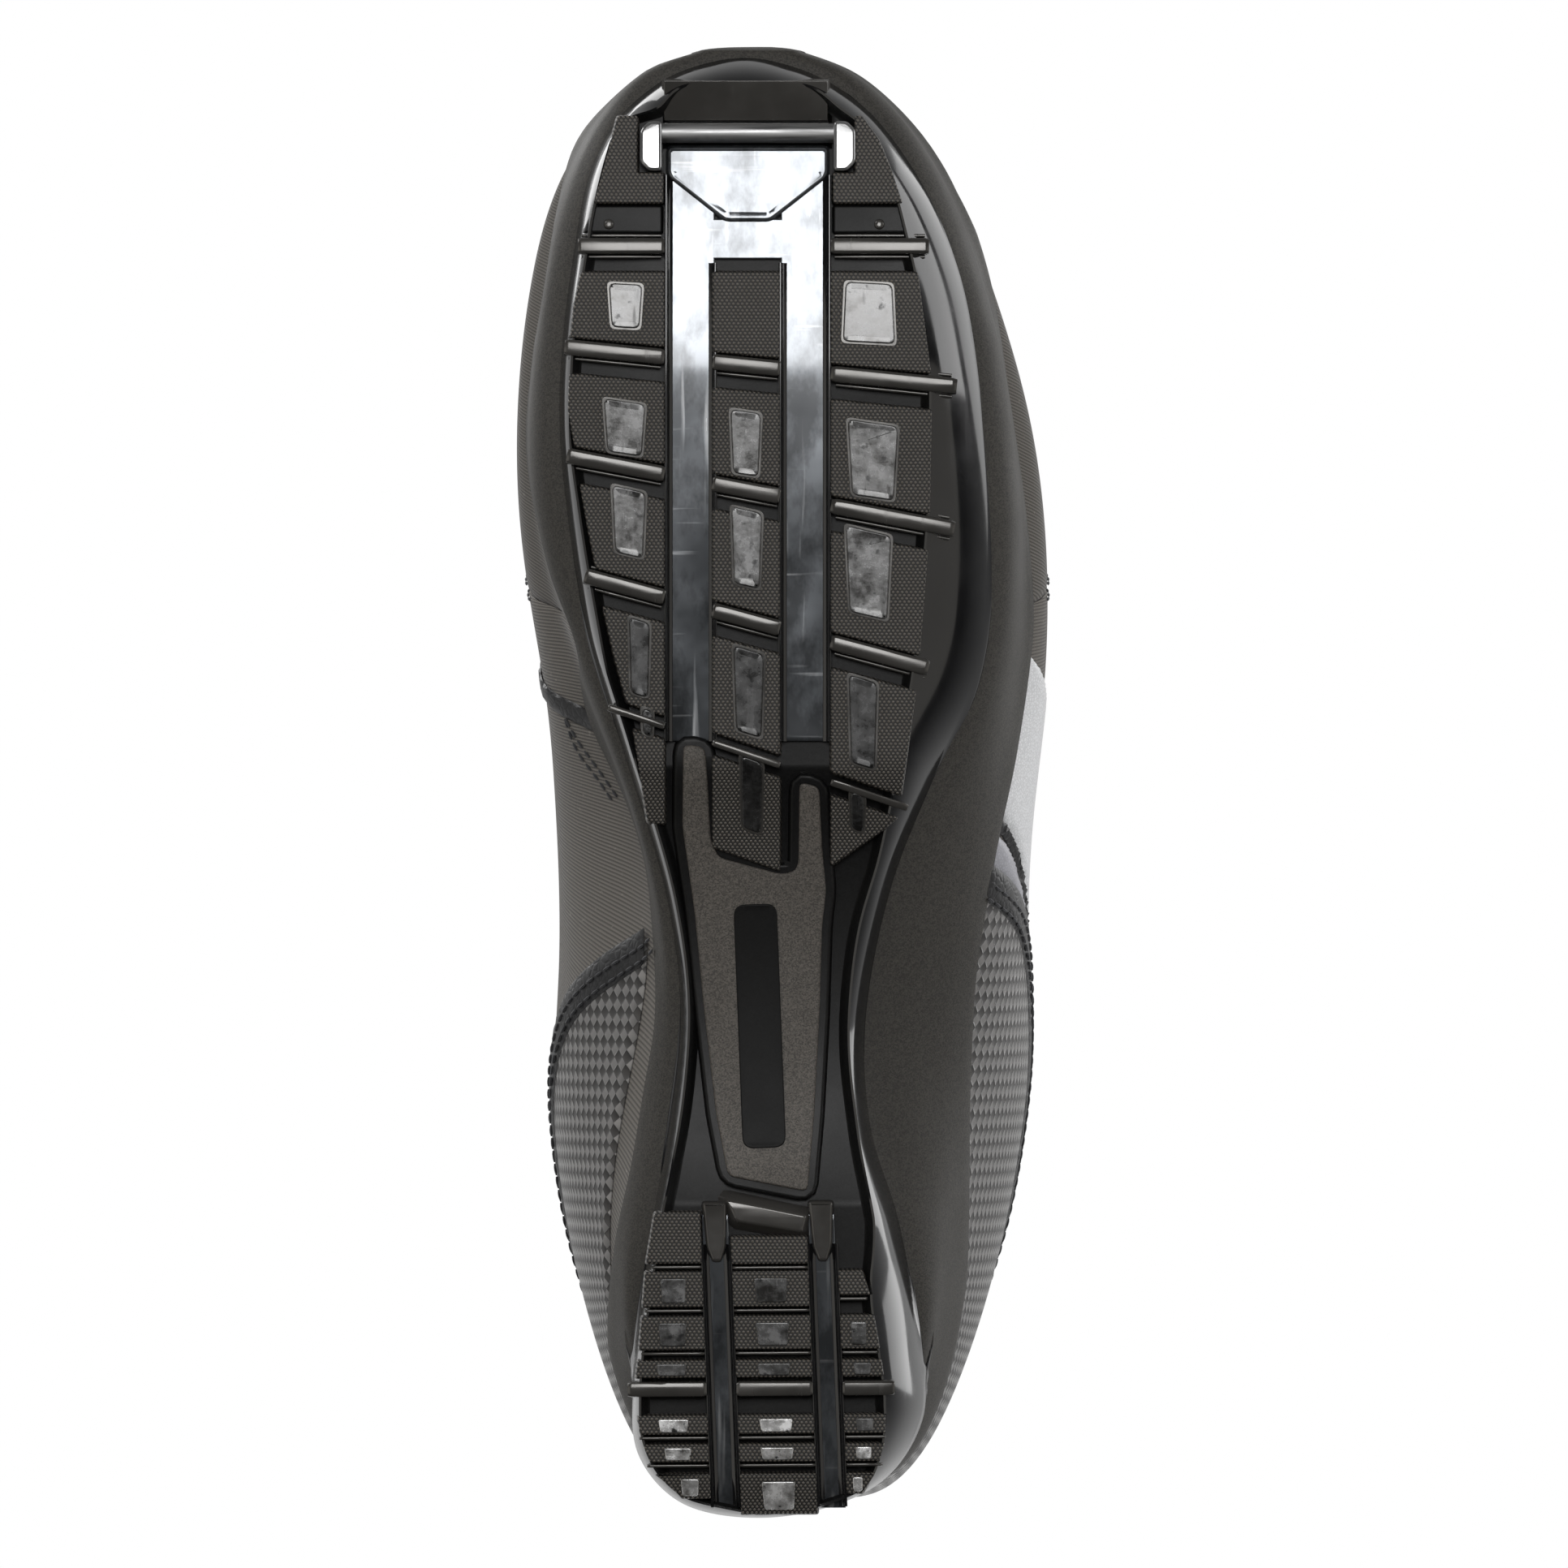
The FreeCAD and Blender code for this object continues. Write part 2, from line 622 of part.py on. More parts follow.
SEAM_GAP = 0.15  # between two pieces of the shell that are sewn edge to edge
VAMP_FOOT, VAMP_TOP = (-22, -10), (-66, 110)
THROAT = [(-64, 60), (-64, 190), (30, 190), (30, 112)]


def make_shell():
    """The softshell outer fabric: a vamp and two quarters round an open throat."""
    half = dim("throat_half_width")
    skin = layer(0, -dim("shell_thickness"))
    skin = skin.cut(side_prism(THROAT, -half, half))
    (foot_y, foot_z), (top_y, top_z) = VAMP_FOOT, VAMP_TOP
    vamp_region = side_prism([(-170, foot_z), VAMP_FOOT, VAMP_TOP, (-170, top_z)])
    seam = [(top_y + SEAM_GAP, 190), (top_y + SEAM_GAP, top_z), (foot_y + SEAM_GAP, foot_z)]
    back_region = side_prism(seam + [(170, foot_z), (170, 190)])
    feature("vamp", largest(skin.common(vamp_region)))
    rear = skin.common(back_region)
    half_gap = SEAM_GAP / 2
    for name, low, high in (("lateral", half_gap, HALF_SPAN), ("medial", -HALF_SPAN, -half_gap)):
        half_block = side_prism([(-170, -20), (170, -20), (170, 200), (-170, 200)], low, high)
        feature(f"{name}_quarter", largest(rear.common(half_block)))


def make_inner_layers():
    """What lies inside the shell: board, toe puff, heel counter, tongue, lining, footbed and collar."""
    stiff = last(dim("stiffener_outer")).cut(last(dim("stiffener_inner"), True))
    board = last(dim("stiffener_outer")).common(below_line(SOLE_TOP, 3.4)).cut(last(dim("stiffener_inner")))
    feature("lasting_board", largest(board))
    upper = above_line(SOLE_TOP, 3.6)
    puff = side_prism([(-170, 0), (-116, 0), (-120, 90), (-170, 90)])
    feature("toe_puff", largest(stiff.common(upper).common(puff)))
    counter = side_prism([(170, 0), (84, 0), (100, 66), (120, 84), (170, 90)])
    feature("heel_counter", largest(stiff.common(upper).common(counter)))
    half = dim("tongue_half_width")
    tongue = side_prism([(-74, 56), (-74, 200), (26, 200), (26, 122)], -half, half)
    feature("tongue", largest(stiff.common(tongue)))
    bootie = last(dim("lining_outer"), True).cut(last(dim("lining_inner"), True)).common(last(0.5))
    feature("lining", largest(bootie))
    footbed_top = below_line(SOLE_TOP, 6.4 + dim("footbed_thickness"))
    cushion = last(dim("lining_inner") - 0.2, True).common(footbed_top)
    feature("footbed", largest(cushion))
    rim = last(0.8, True).cut(last(dim("lining_inner"), True))
    front, back, low, high = -40, 170, 0.15, 6.0
    lower = [(front, cuff_z(front, low)), (back, cuff_z(back, low))]
    band = side_prism(lower + [(back, cuff_z(back, high)), (front, cuff_z(front, high))])
    feature("collar", largest(rim.common(band)))


# Edges of the overlays seen from the side, as (y, z)
LATERAL_PANEL = [(14, 20), (19, 33), (27, 50), (40, 64), (70, 77), (110, 86), (170, 90), (170, 20)]
MEDIAL_PANEL = [
    (26, 20), (29.5, 27), (35, 38), (46, 54), (62, 67), (86, 78), (112, 85), (170, 90), (170, 20),
]
WHITE_STRIPE = [(-27, 33), (-34, 24), (3.5, 24), (7, 33), (20.5, 50), (29, 62), (-3, 62), (-14, 50)]
SILVER_STRIPE = [
    (7, 24), (10.5, 33), (23.4, 50), (31.5, 62), (35, 62), (26, 49), (17.6, 33), (13.4, 24),
]
EYESTAY = [(-68, 50), (-68, 110), (-4, 150), (10, 112)]


def make_overlays():
    """Rand, heel panels, stripes, eyestays and the tab up the heel, on the outside of the shell."""
    gap, thick = dim("overlay_gap"), dim("overlay_thickness")
    rand = last(dim("rand_thickness")).cut(last(gap))
    rand = rand.common(slab([curve_edge(lifted(SOLE_TOP, RAND_FOOT + gap))], [curve_edge(SEAM_LINE)]))
    feature("rand", largest(rand))
    skin = last(gap + thick).cut(last(gap)).common(above_line(SEAM_LINE, 0.2))
    feature("lateral_heel_panel", largest(skin.common(side_prism(LATERAL_PANEL, GAP, HALF_SPAN))))
    feature("medial_heel_panel", largest(skin.common(side_prism(MEDIAL_PANEL, -HALF_SPAN, -GAP))))
    feature("white_stripe", largest(skin.common(side_prism(WHITE_STRIPE, 1, HALF_SPAN))))
    feature("silver_stripe", largest(skin.common(side_prism(SILVER_STRIPE, 1, HALF_SPAN))))
    inner, wide = dim("throat_half_width") + 0.3, 7.2
    outer = inner + wide
    feature("lateral_eyestay", largest(skin.common(side_prism(EYESTAY, inner, outer))))
    feature("medial_eyestay", largest(skin.common(side_prism(EYESTAY, -outer, -inner))))
    over_panels, half_tab = 2 * gap + thick, dim("tab_half_width")
    tab_skin = last(over_panels + 1.05).cut(last(over_panels)).common(above_line(SEAM_LINE, 0.2))
    tab = side_prism([(110, 20), (170, 20), (170, 112), (110, 112)], -half_tab, half_tab)
    feature("heel_tab", largest(tab_skin.common(tab)))


# ---------------------------------------------------------------------------------------------
# Closure: laces under a zipped cover. The zip's own frame lies on the straight ridge of the instep.
# ---------------------------------------------------------------------------------------------

ZIP_LOW, ZIP_HIGH = Vector(0, -52, 81.6), Vector(0, -10, 105.1)
ZIP_ALONG = (ZIP_HIGH - ZIP_LOW).normalize()
ZIP_UP = Vector(1, 0, 0).cross(ZIP_ALONG)
ZIP_MIDDLE = (ZIP_LOW + ZIP_HIGH) * 0.5
ZIP_FRAME = Placement(ZIP_MIDDLE, Rotation(Vector(1, 0, 0), ZIP_ALONG, ZIP_UP, "XYZ"))
ZIP_REST = dim("zip_length") / 2 - dim("slider_length") / 2


def in_zip_frame(shape):
    shape.Placement = ZIP_FRAME.multiply(shape.Placement)
    return shape


def zip_box(x0, x1, along0, along1, up0, up1):
    """A box in the zip's frame: across, along towards the ankle, and up off the instep."""
    return in_zip_frame(Part.makeBox(x1 - x0, along1 - along0, up1 - up0, Vector(x0, along0, up0)))


COVER = [(-71, 58), (-71, 130), (-5, 150), (-1, 100)]
COVER_INSIDE = [(-68.5, 58), (-68.5, 130), (-5, 150), (0, 100)]


def make_laces():
    """Flat webbing that crosses from side to side over the tongue, under the cover."""
    rows, lean_deg, half_long, half_high = 5, 14, 19, 12
    wide, pitch = dim("lace_width"), dim("lace_pitch")
    bands = []
    for row in range(rows):
        for lean in (-lean_deg, lean_deg):
            corner = Vector(-half_long, -wide / 2, -half_high)
            band = Part.makeBox(2 * half_long, wide, 2 * half_high, corner)
            band.rotate(Vector(0, 0, 0), Vector(0, 0, 1), lean)
            band.translate(Vector(0, (row - (rows - 1) / 2) * pitch - 2, 0))
            bands.append(in_zip_frame(band))
    web = bands[0].multiFuse(bands[1:])
    feature("laces", largest(last(2.5).cut(last(1.3)).common(web)))


def make_cover():
    """A dome over the laces, with a hem round it and a slot for the zip."""
    half, lift, thick = dim("cover_half_width"), dim("cover_lift"), dim("cover_thickness")
    half_slot, past_end = 3.2, dim("zip_length") / 2 + 4
    slot = zip_box(-half_slot, half_slot, -past_end, past_end, -10, 20)
    outer = last(lift)
    roof = outer.cut(last(lift - thick)).common(side_prism(COVER, -half, half))
    hem_block = side_prism(COVER, -half, half).cut(side_prism(COVER_INSIDE, -half + 2, half - 2))
    hem = outer.cut(last(dim("overlay_gap"))).common(hem_block)
    feature("lace_cover", largest(roof.fuse(hem).cut(slot).removeSplitter()))


def placed_box(name, sizes, corner, frame):
    """A box whose three sizes are expressions on the sheet, set at a corner in a frame."""
    box = doc.addObject("Part::Box", name)
    for side, expression in zip(("Length", "Width", "Height"), sizes):
        box.setExpression(side, expression)
    box.Placement = frame.multiply(Placement(corner, Rotation()))
    return box


def placed_pin(name, radius, height, start, frame):
    """A cylinder along X whose sizes are expressions on the sheet."""
    pin = doc.addObject("Part::Cylinder", name)
    pin.setExpression("Radius", radius)
    pin.setExpression("Height", height)
    pin.Placement = frame.multiply(Placement(start, Rotation(Vector(0, 1, 0), 90)))
    return pin


def fused(name, pieces):
    joined = doc.addObject("Part::MultiFuse", name)
    joined.Shapes = pieces
    joined.Refine = True
    return joined


def cut_from(name, base, tool):
    result = doc.addObject("Part::Cut", name)
    result.Base = base
    result.Tool = tool
    return result


ZIP_FLOOR = 2.9  # height of the tapes and the teeth above the instep line
SLIDER_FLOOR = 4.35
PIN_UP = 7.0  # height of the pull's pin


def make_zip():
    """Two tapes along the slot, and the row of teeth that mesh between them."""
    past_end, beside, wide = dim("zip_length") / 2 + 3, 1.55, 1.6
    for name, x in (("lateral", beside), ("medial", -beside - wide)):
        sizes = (str(wide), "dims.zip_length + 6", "0.6")
        label = f"{name}_zip_tape"
        keep(placed_box(label, sizes, Vector(x, -past_end, ZIP_FLOOR), ZIP_FRAME), label)
    teeth = []
    half, overlap, tooth, space, tall = 1.4, 0.35, 1.0, 0.25, 1.3
    top = ZIP_FLOOR + tall
    for k in range(int(dim("zip_length") / dim("zip_pitch"))):
        along = -dim("zip_length") / 2 + k * dim("zip_pitch")
        teeth.append(zip_box(-half, overlap, along, along + tooth, ZIP_FLOOR, top))
        along += tooth + space
        teeth.append(zip_box(-overlap, half, along, along + tooth, ZIP_FLOOR, top))
    feature("zip_teeth", Part.makeCompound(teeth))


def make_zip_slider():
    """The slider, which rides on the teeth, and its pull on a pin through the slider's bridge."""
    frame = ZIP_FRAME.multiply(Placement(Vector(0, ZIP_REST, 0), Rotation()))
    half, length = dim("slider_half_width"), dim("slider_length")
    plate = placed_box(
        "slider_plate", ("2 * dims.slider_half_width", "dims.slider_length", "1"),
        Vector(-half, -length / 2, SLIDER_FLOOR), frame,
    )
    rails = []
    for name, x in (("rail_lateral", 1.65), ("rail_medial", -2.65)):
        corner = Vector(x, -length / 2, SLIDER_FLOOR - 0.7)
        rails.append(placed_box(name, ("1", "dims.slider_length", "0.85"), corner, frame))
    corner = Vector(-1.2, -2.5, SLIDER_FLOOR + 0.8)
    bridge = placed_box("slider_bridge", ("2.4", "5", "3.6"), corner, frame)
    radius = "dims.pull_pin_radius + dims.pull_clearance"
    bore = placed_pin("slider_bore", radius, "6", Vector(-3, 0, PIN_UP), frame)
    slider = cut_from("slider", fused("slider_block", [plate] + rails + [bridge]), bore)
    keep(slider, "zip_slider")

    pin = placed_pin("pull_pin", "dims.pull_pin_radius", "6", Vector(-3, 0, PIN_UP), frame)
    arms = []
    for name, x in (("arm_lateral", 1.5), ("arm_medial", -3.0)):
        arms.append(placed_box(name, ("1.5", "6.5", "1.6"), Vector(x, -5.5, PIN_UP - 0.8), frame))
    blade = placed_box(
        "pull_blade", ("dims.pull_width", "dims.pull_length - 4", "1.6"),
        Vector(-dim("pull_width") / 2, -dim("pull_length"), PIN_UP - 0.8), frame,
    )
    keep(fused("pull", [pin, blade] + arms), "zip_pull")


# ---------------------------------------------------------------------------------------------
# Ankle strap: a webbing band that hinges on a wire ring at the outer side and closes on a hook patch
# ---------------------------------------------------------------------------------------------

TILT = math.radians(dim("strap_tilt_deg"))
STRAP_AXIS = Vector(0, math.sin(TILT), math.cos(TILT))
STRAP_BACK = Vector(0, math.cos(TILT), -math.sin(TILT))
STRAP_FRONT = Vector(0, 8, dim("strap_front_z"))


def strap_region(start, end, low_x, high_x, width):
    """The tilted band of the strap, from start to end behind its front, as a block."""
    def at(along, up):
        point = STRAP_FRONT + STRAP_BACK * along + STRAP_AXIS * up
        return point.y, point.z

    half = width / 2
    return side_prism([at(start, -half), at(end, -half), at(end, half), at(start, half)], low_x, high_x)


def side_point(outset, along):
    """The point on the outer side of an offset form, at a distance behind the strap's front."""
    base = STRAP_FRONT + STRAP_BACK * along
    reach = Part.makeLine(base, base + Vector(HALF_SPAN, 0, 0)).common(last(outset))
    return Vector(reach.BoundBox.XMax, base.y, base.z)


HINGE_ALONG = 22.0
RING_GAP = 6.2
SLEEVE_HALF = 2.3
RING_LEVEL = 4.9


def bar_along_axis(centre, radius, length):
    return Part.makeCylinder(radius, length, centre - STRAP_AXIS * (length / 2), STRAP_AXIS)


def sleeve_block(centre, backwards, length):
    """The folded end of the webbing round a bar, as a square block that the bar's bore is cut through."""
    half = SLEEVE_HALF
    block = Part.makeBox(2 * half, 2 * half, length, Vector(-half, -half, -length / 2))
    outwards = backwards.cross(STRAP_AXIS)
    block.Placement = Placement(centre, Rotation(backwards, outwards, STRAP_AXIS, "ZXY"))
    return block


def make_ankle_strap():
    wide = dim("strap_width")
    inner, outer = dim("strap_inner"), dim("strap_inner") + dim("strap_thickness")
    hinge = side_point(RING_LEVEL, HINGE_ALONG)
    anchor = side_point(RING_LEVEL, HINGE_ALONG + RING_GAP)
    wire = dim("ring_wire_radius")
    bore = wire + GAP
    long = wide + 5
    backwards = (anchor - hinge).normalize()
    bars = [bar_along_axis(point, wire, long) for point in (hinge, anchor)]
    for sign in (-1, 1):
        end = STRAP_AXIS * (sign * long / 2)
        bars.append(Part.makeCylinder(wire, hinge.distanceToPoint(anchor), hinge + end, anchor - hinge))
        bars.extend(Part.makeSphere(wire, point + end) for point in (hinge, anchor))
    feature("strap_ring", bars[0].multiFuse(bars[1:]).removeSplitter())

    skin = last(outer).cut(last(inner))
    opening = [bar_along_axis(point, bore, long) for point in (hinge, anchor)]
    front = strap_region(-20, HINGE_ALONG - 0.5, 0, HALF_SPAN, wide)
    round_the_front = front.fuse(strap_region(-20, 30, -HALF_SPAN, 0, wide))
    band = largest(skin.common(round_the_front))
    feature("ankle_strap", largest(band.fuse(sleeve_block(hinge, backwards, wide)).cut(opening[0])))
    rear = strap_region(HINGE_ALONG + RING_GAP + 0.5, 56, 0, HALF_SPAN, wide)
    band = largest(skin.common(rear))
    feature("strap_anchor", largest(band.fuse(sleeve_block(anchor, backwards, wide)).cut(opening[1])))
    hook = last(inner - 0.05).cut(last(inner - 0.45))
    feature("strap_hook_patch", largest(hook.common(strap_region(10, 29, -HALF_SPAN, 0, wide - 5))))
    loop = last(inner - 0.6).cut(last(dim("overlay_gap")))
    feature("strap_loop_patch", largest(loop.common(strap_region(8, 40, -HALF_SPAN, 0, wide - 2))))
    return hinge


def make_heel_loop():
    """The webbing loop behind the cuff that the boot is pulled on by."""
    thick = dim("loop_thickness")
    low = Vector(-dim("loop_width") / 2, 142.3, 128)
    sizes = ("dims.loop_width", "dims.loop_depth", "dims.loop_height")
    outer = placed_box("loop_outer", sizes, low, Placement())
    sizes = (
        "dims.loop_width + 2",
        "dims.loop_depth - 2 * dims.loop_thickness",
        "dims.loop_height - 2 * dims.loop_thickness",
    )
    inner = placed_box("loop_inner", sizes, low + Vector(-1, thick, thick), Placement())
    keep(cut_from("heel_loop", outer, inner), "heel_pull_loop")


make_shell()
make_inner_layers()
make_overlays()
make_laces()
make_cover()
make_zip()
make_zip_slider()
hinge_point = make_ankle_strap()
make_heel_loop()

# ---------------------------------------------------------------------------------------------
# Checks and export
# ---------------------------------------------------------------------------------------------

doc.recompute()
os.makedirs("parts", exist_ok=True)
for obj in doc.Objects:
    if "Invalid" in obj.State or "Error" in obj.State:
        raise RuntimeError(f"{obj.Label} did not rebuild: {obj.State}")
for obj in parts:
    if obj.Shape.isNull() or not obj.Shape.isValid() or not obj.Shape.Solids:
        raise RuntimeError(f"{obj.Label} is not a valid solid")
    obj.Shape.exportStep(os.path.join("parts", f"{obj.Label}.step"))
    box = obj.Shape.optimalBoundingBox(False)
    counts = f"{len(obj.Shape.Solids):3d} solids {obj.Shape.Volume / 1000:9.3f} cm3"
    low, high = Vector(box.XMin, box.YMin, box.ZMin), Vector(box.XMax, box.YMax, box.ZMax)
    print(f"{obj.Label:24s} {counts} from {low} to {high}")
print("strap hinge", hinge_point, STRAP_AXIS)
print("zip frame", ZIP_FRAME)
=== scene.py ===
"""Looks of a left cross-country ski boot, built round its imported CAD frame.

Lengths are millimetres in the CAD frame unless a name ends in _m. The toe points to -Y, the heel to +Y, the
outer (lateral) side to +X. The ground is at z = 0.
"""

import json
import math

import bmesh
import bpy
import numpy as np
from mathutils import Matrix, Vector
from mathutils.bvhtree import BVHTree


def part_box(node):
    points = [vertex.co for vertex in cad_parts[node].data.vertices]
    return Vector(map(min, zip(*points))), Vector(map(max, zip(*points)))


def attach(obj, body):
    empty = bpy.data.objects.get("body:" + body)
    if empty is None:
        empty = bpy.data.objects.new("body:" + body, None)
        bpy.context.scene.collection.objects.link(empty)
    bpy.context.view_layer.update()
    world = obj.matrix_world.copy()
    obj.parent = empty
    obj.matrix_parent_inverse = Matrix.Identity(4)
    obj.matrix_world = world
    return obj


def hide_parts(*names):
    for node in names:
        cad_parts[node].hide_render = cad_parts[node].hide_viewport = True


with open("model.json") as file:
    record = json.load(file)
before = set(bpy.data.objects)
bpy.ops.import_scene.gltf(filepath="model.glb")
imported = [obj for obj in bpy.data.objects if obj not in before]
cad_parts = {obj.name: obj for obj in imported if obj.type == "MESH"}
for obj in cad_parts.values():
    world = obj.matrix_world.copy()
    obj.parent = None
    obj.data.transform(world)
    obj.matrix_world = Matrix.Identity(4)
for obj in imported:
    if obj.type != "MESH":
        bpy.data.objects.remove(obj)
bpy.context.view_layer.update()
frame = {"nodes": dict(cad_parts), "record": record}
MM = 0.001


def box_mm(node):
    """A CAD node's lowest and highest corner, in millimetres."""
    low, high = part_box(node)
    return Vector(low) / MM, Vector(high) / MM


# ---------------------------------------------------------------------------------------------
# Anchors read from the frame
# ---------------------------------------------------------------------------------------------

BODY_LOW, BODY_HIGH = box_mm("sole_body")
BAR_LOW, BAR_HIGH = box_mm("binding_bar")
FORK_LOW, FORK_HIGH = box_mm("groove_guide_plate")
AXIS_X = (FORK_LOW.x + FORK_HIGH.x) / 2
GROOVE_WIDTH = 9.8
GROOVE_INNER = 6.6
GROOVE_OUTER = GROOVE_INNER + GROOVE_WIDTH

# ---------------------------------------------------------------------------------------------
# Small geometry helpers
# ---------------------------------------------------------------------------------------------

# The tread line: the toe spring, the arch of the waist and the bevel at the heel
SPRING_START, SPRING_RADIUS = -78.0, 290.0
ARCH_FRONT, ARCH_BACK, ARCH_HEIGHT = -4.0, 84.0, 7.0
BEVEL_START, BEVEL_RADIUS = 134.0, 40.0


def ground(y):
    """Height of the tread line over the ground: toe spring, ball, arch, heel and the bevel behind it."""
    y = np.asarray(y, dtype=float)
    spring = np.clip(SPRING_START - y, 0, SPRING_RADIUS)
    bevel = np.clip(y - BEVEL_START, 0, BEVEL_RADIUS)
    half = (ARCH_BACK - ARCH_FRONT) / 2
    radius = (half**2 + ARCH_HEIGHT**2) / (2 * ARCH_HEIGHT)
    reach = np.clip(np.abs(y - (ARCH_FRONT + half)), 0, half)
    arch = np.sqrt(radius**2 - reach**2) - (radius - ARCH_HEIGHT)
    up = SPRING_RADIUS - np.sqrt(SPRING_RADIUS**2 - spring**2)
    back = BEVEL_RADIUS - np.sqrt(BEVEL_RADIUS**2 - bevel**2)
    return up + np.clip(arch, 0, None) + back


def polyline(points, value):
    """Reads a height or width off a polyline given as (position, value) pairs."""
    xs, ys = zip(*points)
    return np.interp(value, xs, ys)


def smooth_curve(points, closed=True, steps=8):
    """A curve through a few points, as a finer polyline (centripetal, so it doesn't overshoot)."""
    pts = [np.array(p, dtype=float) for p in points]
    count = len(pts)
    spans = count if closed else count - 1
    out = []
    for i in range(spans):
        if closed:
            p0, p1, p2, p3 = (pts[(i + k) % count] for k in (-1, 0, 1, 2))
        else:
            p1, p2 = pts[i], pts[i + 1]
            p0 = pts[i - 1] if i else 2 * p1 - p2
            p3 = pts[i + 2] if i + 2 < count else 2 * p2 - p1
        t = [0.0]
        for a, b in ((p0, p1), (p1, p2), (p2, p3)):
            t.append(t[-1] + max(np.linalg.norm(b - a), 1e-6) ** 0.5)
        for k in range(steps):
            s = t[1] + (t[2] - t[1]) * k / steps
            a1 = (t[1] - s) / (t[1] - t[0]) * p0 + (s - t[0]) / (t[1] - t[0]) * p1
            a2 = (t[2] - s) / (t[2] - t[1]) * p1 + (s - t[1]) / (t[2] - t[1]) * p2
            a3 = (t[3] - s) / (t[3] - t[2]) * p2 + (s - t[2]) / (t[3] - t[2]) * p3
            b1 = (t[2] - s) / (t[2] - t[0]) * a1 + (s - t[0]) / (t[2] - t[0]) * a2
            b2 = (t[3] - s) / (t[3] - t[1]) * a2 + (s - t[1]) / (t[3] - t[1]) * a3
            out.append((t[2] - s) / (t[2] - t[1]) * b1 + (s - t[1]) / (t[2] - t[1]) * b2)
    if not closed:
        out.append(pts[-1])
    return [tuple(p) for p in out]


def round_corners(points, radius, steps=4):
    """Rounds every corner of a polygon with a short quadratic curve."""
    out = []
    count = len(points)
    for i in range(count):
        before, here, after = (Vector(points[(i + k) % count]) for k in (-1, 0, 1))
        reach_in = min(radius, (before - here).length * 0.45)
        reach_out = min(radius, (after - here).length * 0.45)
        start = here + (before - here).normalized() * reach_in
        end = here + (after - here).normalized() * reach_out
        for k in range(steps + 1):
            t = k / steps
            p = start * (1 - t) ** 2 + here * 2 * t * (1 - t) + end * t**2
            out.append((p.x, p.y))
    return out


def signed_area(points):
    total = 0.0
    for i, (x, y) in enumerate(points):
        x1, y1 = points[(i + 1) % len(points)]
        total += x * y1 - x1 * y
    return total / 2


def grown(points, by):
    """A polygon with every side moved outwards by a distance (inwards if negative)."""
    if signed_area(points) < 0:
        points = points[::-1]
    out = []
    count = len(points)
    for i in range(count):
        a, b, c = (Vector(points[(i + k) % count]) for k in (-1, 0, 1))
        d1 = b - a
        d2 = c - b
        if d1.length < 1e-9 or d2.length < 1e-9:
            out.append((b.x, b.y))
            continue
        d1.normalize()
        d2.normalize()
        n1 = Vector((d1.y, -d1.x))
        n2 = Vector((d2.y, -d2.x))
        middle = n1 + n2
        scale = by / max(0.35, (middle.length_squared / 2))
        out.append((b.x + middle.x * scale, b.y + middle.y * scale))
    return out


def polygon_distance(px, py, points):
    """Distance from each point to a closed polygon, positive inside. px and py are arrays."""
    px, py = np.asarray(px, float), np.asarray(py, float)
    best = np.full(px.shape, 1e9)
    inside = np.zeros(px.shape, bool)
    count = len(points)
    for i in range(count):
        x0, y0 = points[i]
        x1, y1 = points[(i + 1) % count]
        dx, dy = x1 - x0, y1 - y0
        length2 = dx * dx + dy * dy + 1e-12
        t = np.clip(((px - x0) * dx + (py - y0) * dy) / length2, 0, 1)
        best = np.minimum(best, (px - x0 - t * dx) ** 2 + (py - y0 - t * dy) ** 2)
        crosses = (y0 > py) != (y1 > py)
        at = x0 + (py - y0) / np.where(abs(dy) < 1e-12, 1e-12, dy) * dx
        inside ^= crosses & (px < at)
    distance = np.sqrt(best)
    return np.where(inside, distance, -distance)


def smoothstep(x):
    x = np.clip(x, 0, 1)
    return x * x * (3 - 2 * x)


def new_object(name, vertices_mm, faces, materials, face_materials=None, uv=None, sharp_deg=38.0):
    """A mesh object from millimetre vertices. uv is one pair per vertex, in millimetres along the surface."""
    mesh = bpy.data.meshes.new(name)
    mesh.from_pydata([tuple(c * MM for c in v) for v in vertices_mm], [], faces)
    for material in materials:
        mesh.materials.append(material)
    if face_materials is not None:
        mesh.polygons.foreach_set("material_index", face_materials)
    if uv is not None:
        layer = mesh.uv_layers.new(name="surface")
        corner = np.empty(len(mesh.loops), dtype=np.int32)
        mesh.loops.foreach_get("vertex_index", corner)
        layer.data.foreach_set("uv", (np.asarray(uv, dtype=np.float32)[corner]).ravel())
    mesh.shade_smooth()
    mesh.set_sharp_from_angle(angle=math.radians(sharp_deg))
    mesh.update()
    obj = bpy.data.objects.new(name, mesh)
    bpy.context.scene.collection.objects.link(obj)
    return obj


def fix_normals(obj):
    """Turns every face of a closed piece outwards."""
    bm = bmesh.new()
    bm.from_mesh(obj.data)
    bmesh.ops.recalc_face_normals(bm, faces=bm.faces)
    bm.to_mesh(obj.data)
    bm.free()


def band_faces(ring_count, count, wrap=False):
    """Quads between closed rings of count points each, from one ring to the next."""
    faces = []
    for r in range(ring_count if wrap else ring_count - 1):
        here, following = r * count, (r + 1) % ring_count * count
        for i in range(count):
            j = (i + 1) % count
            faces.append([here + i, here + j, following + j, following + i])
    return faces


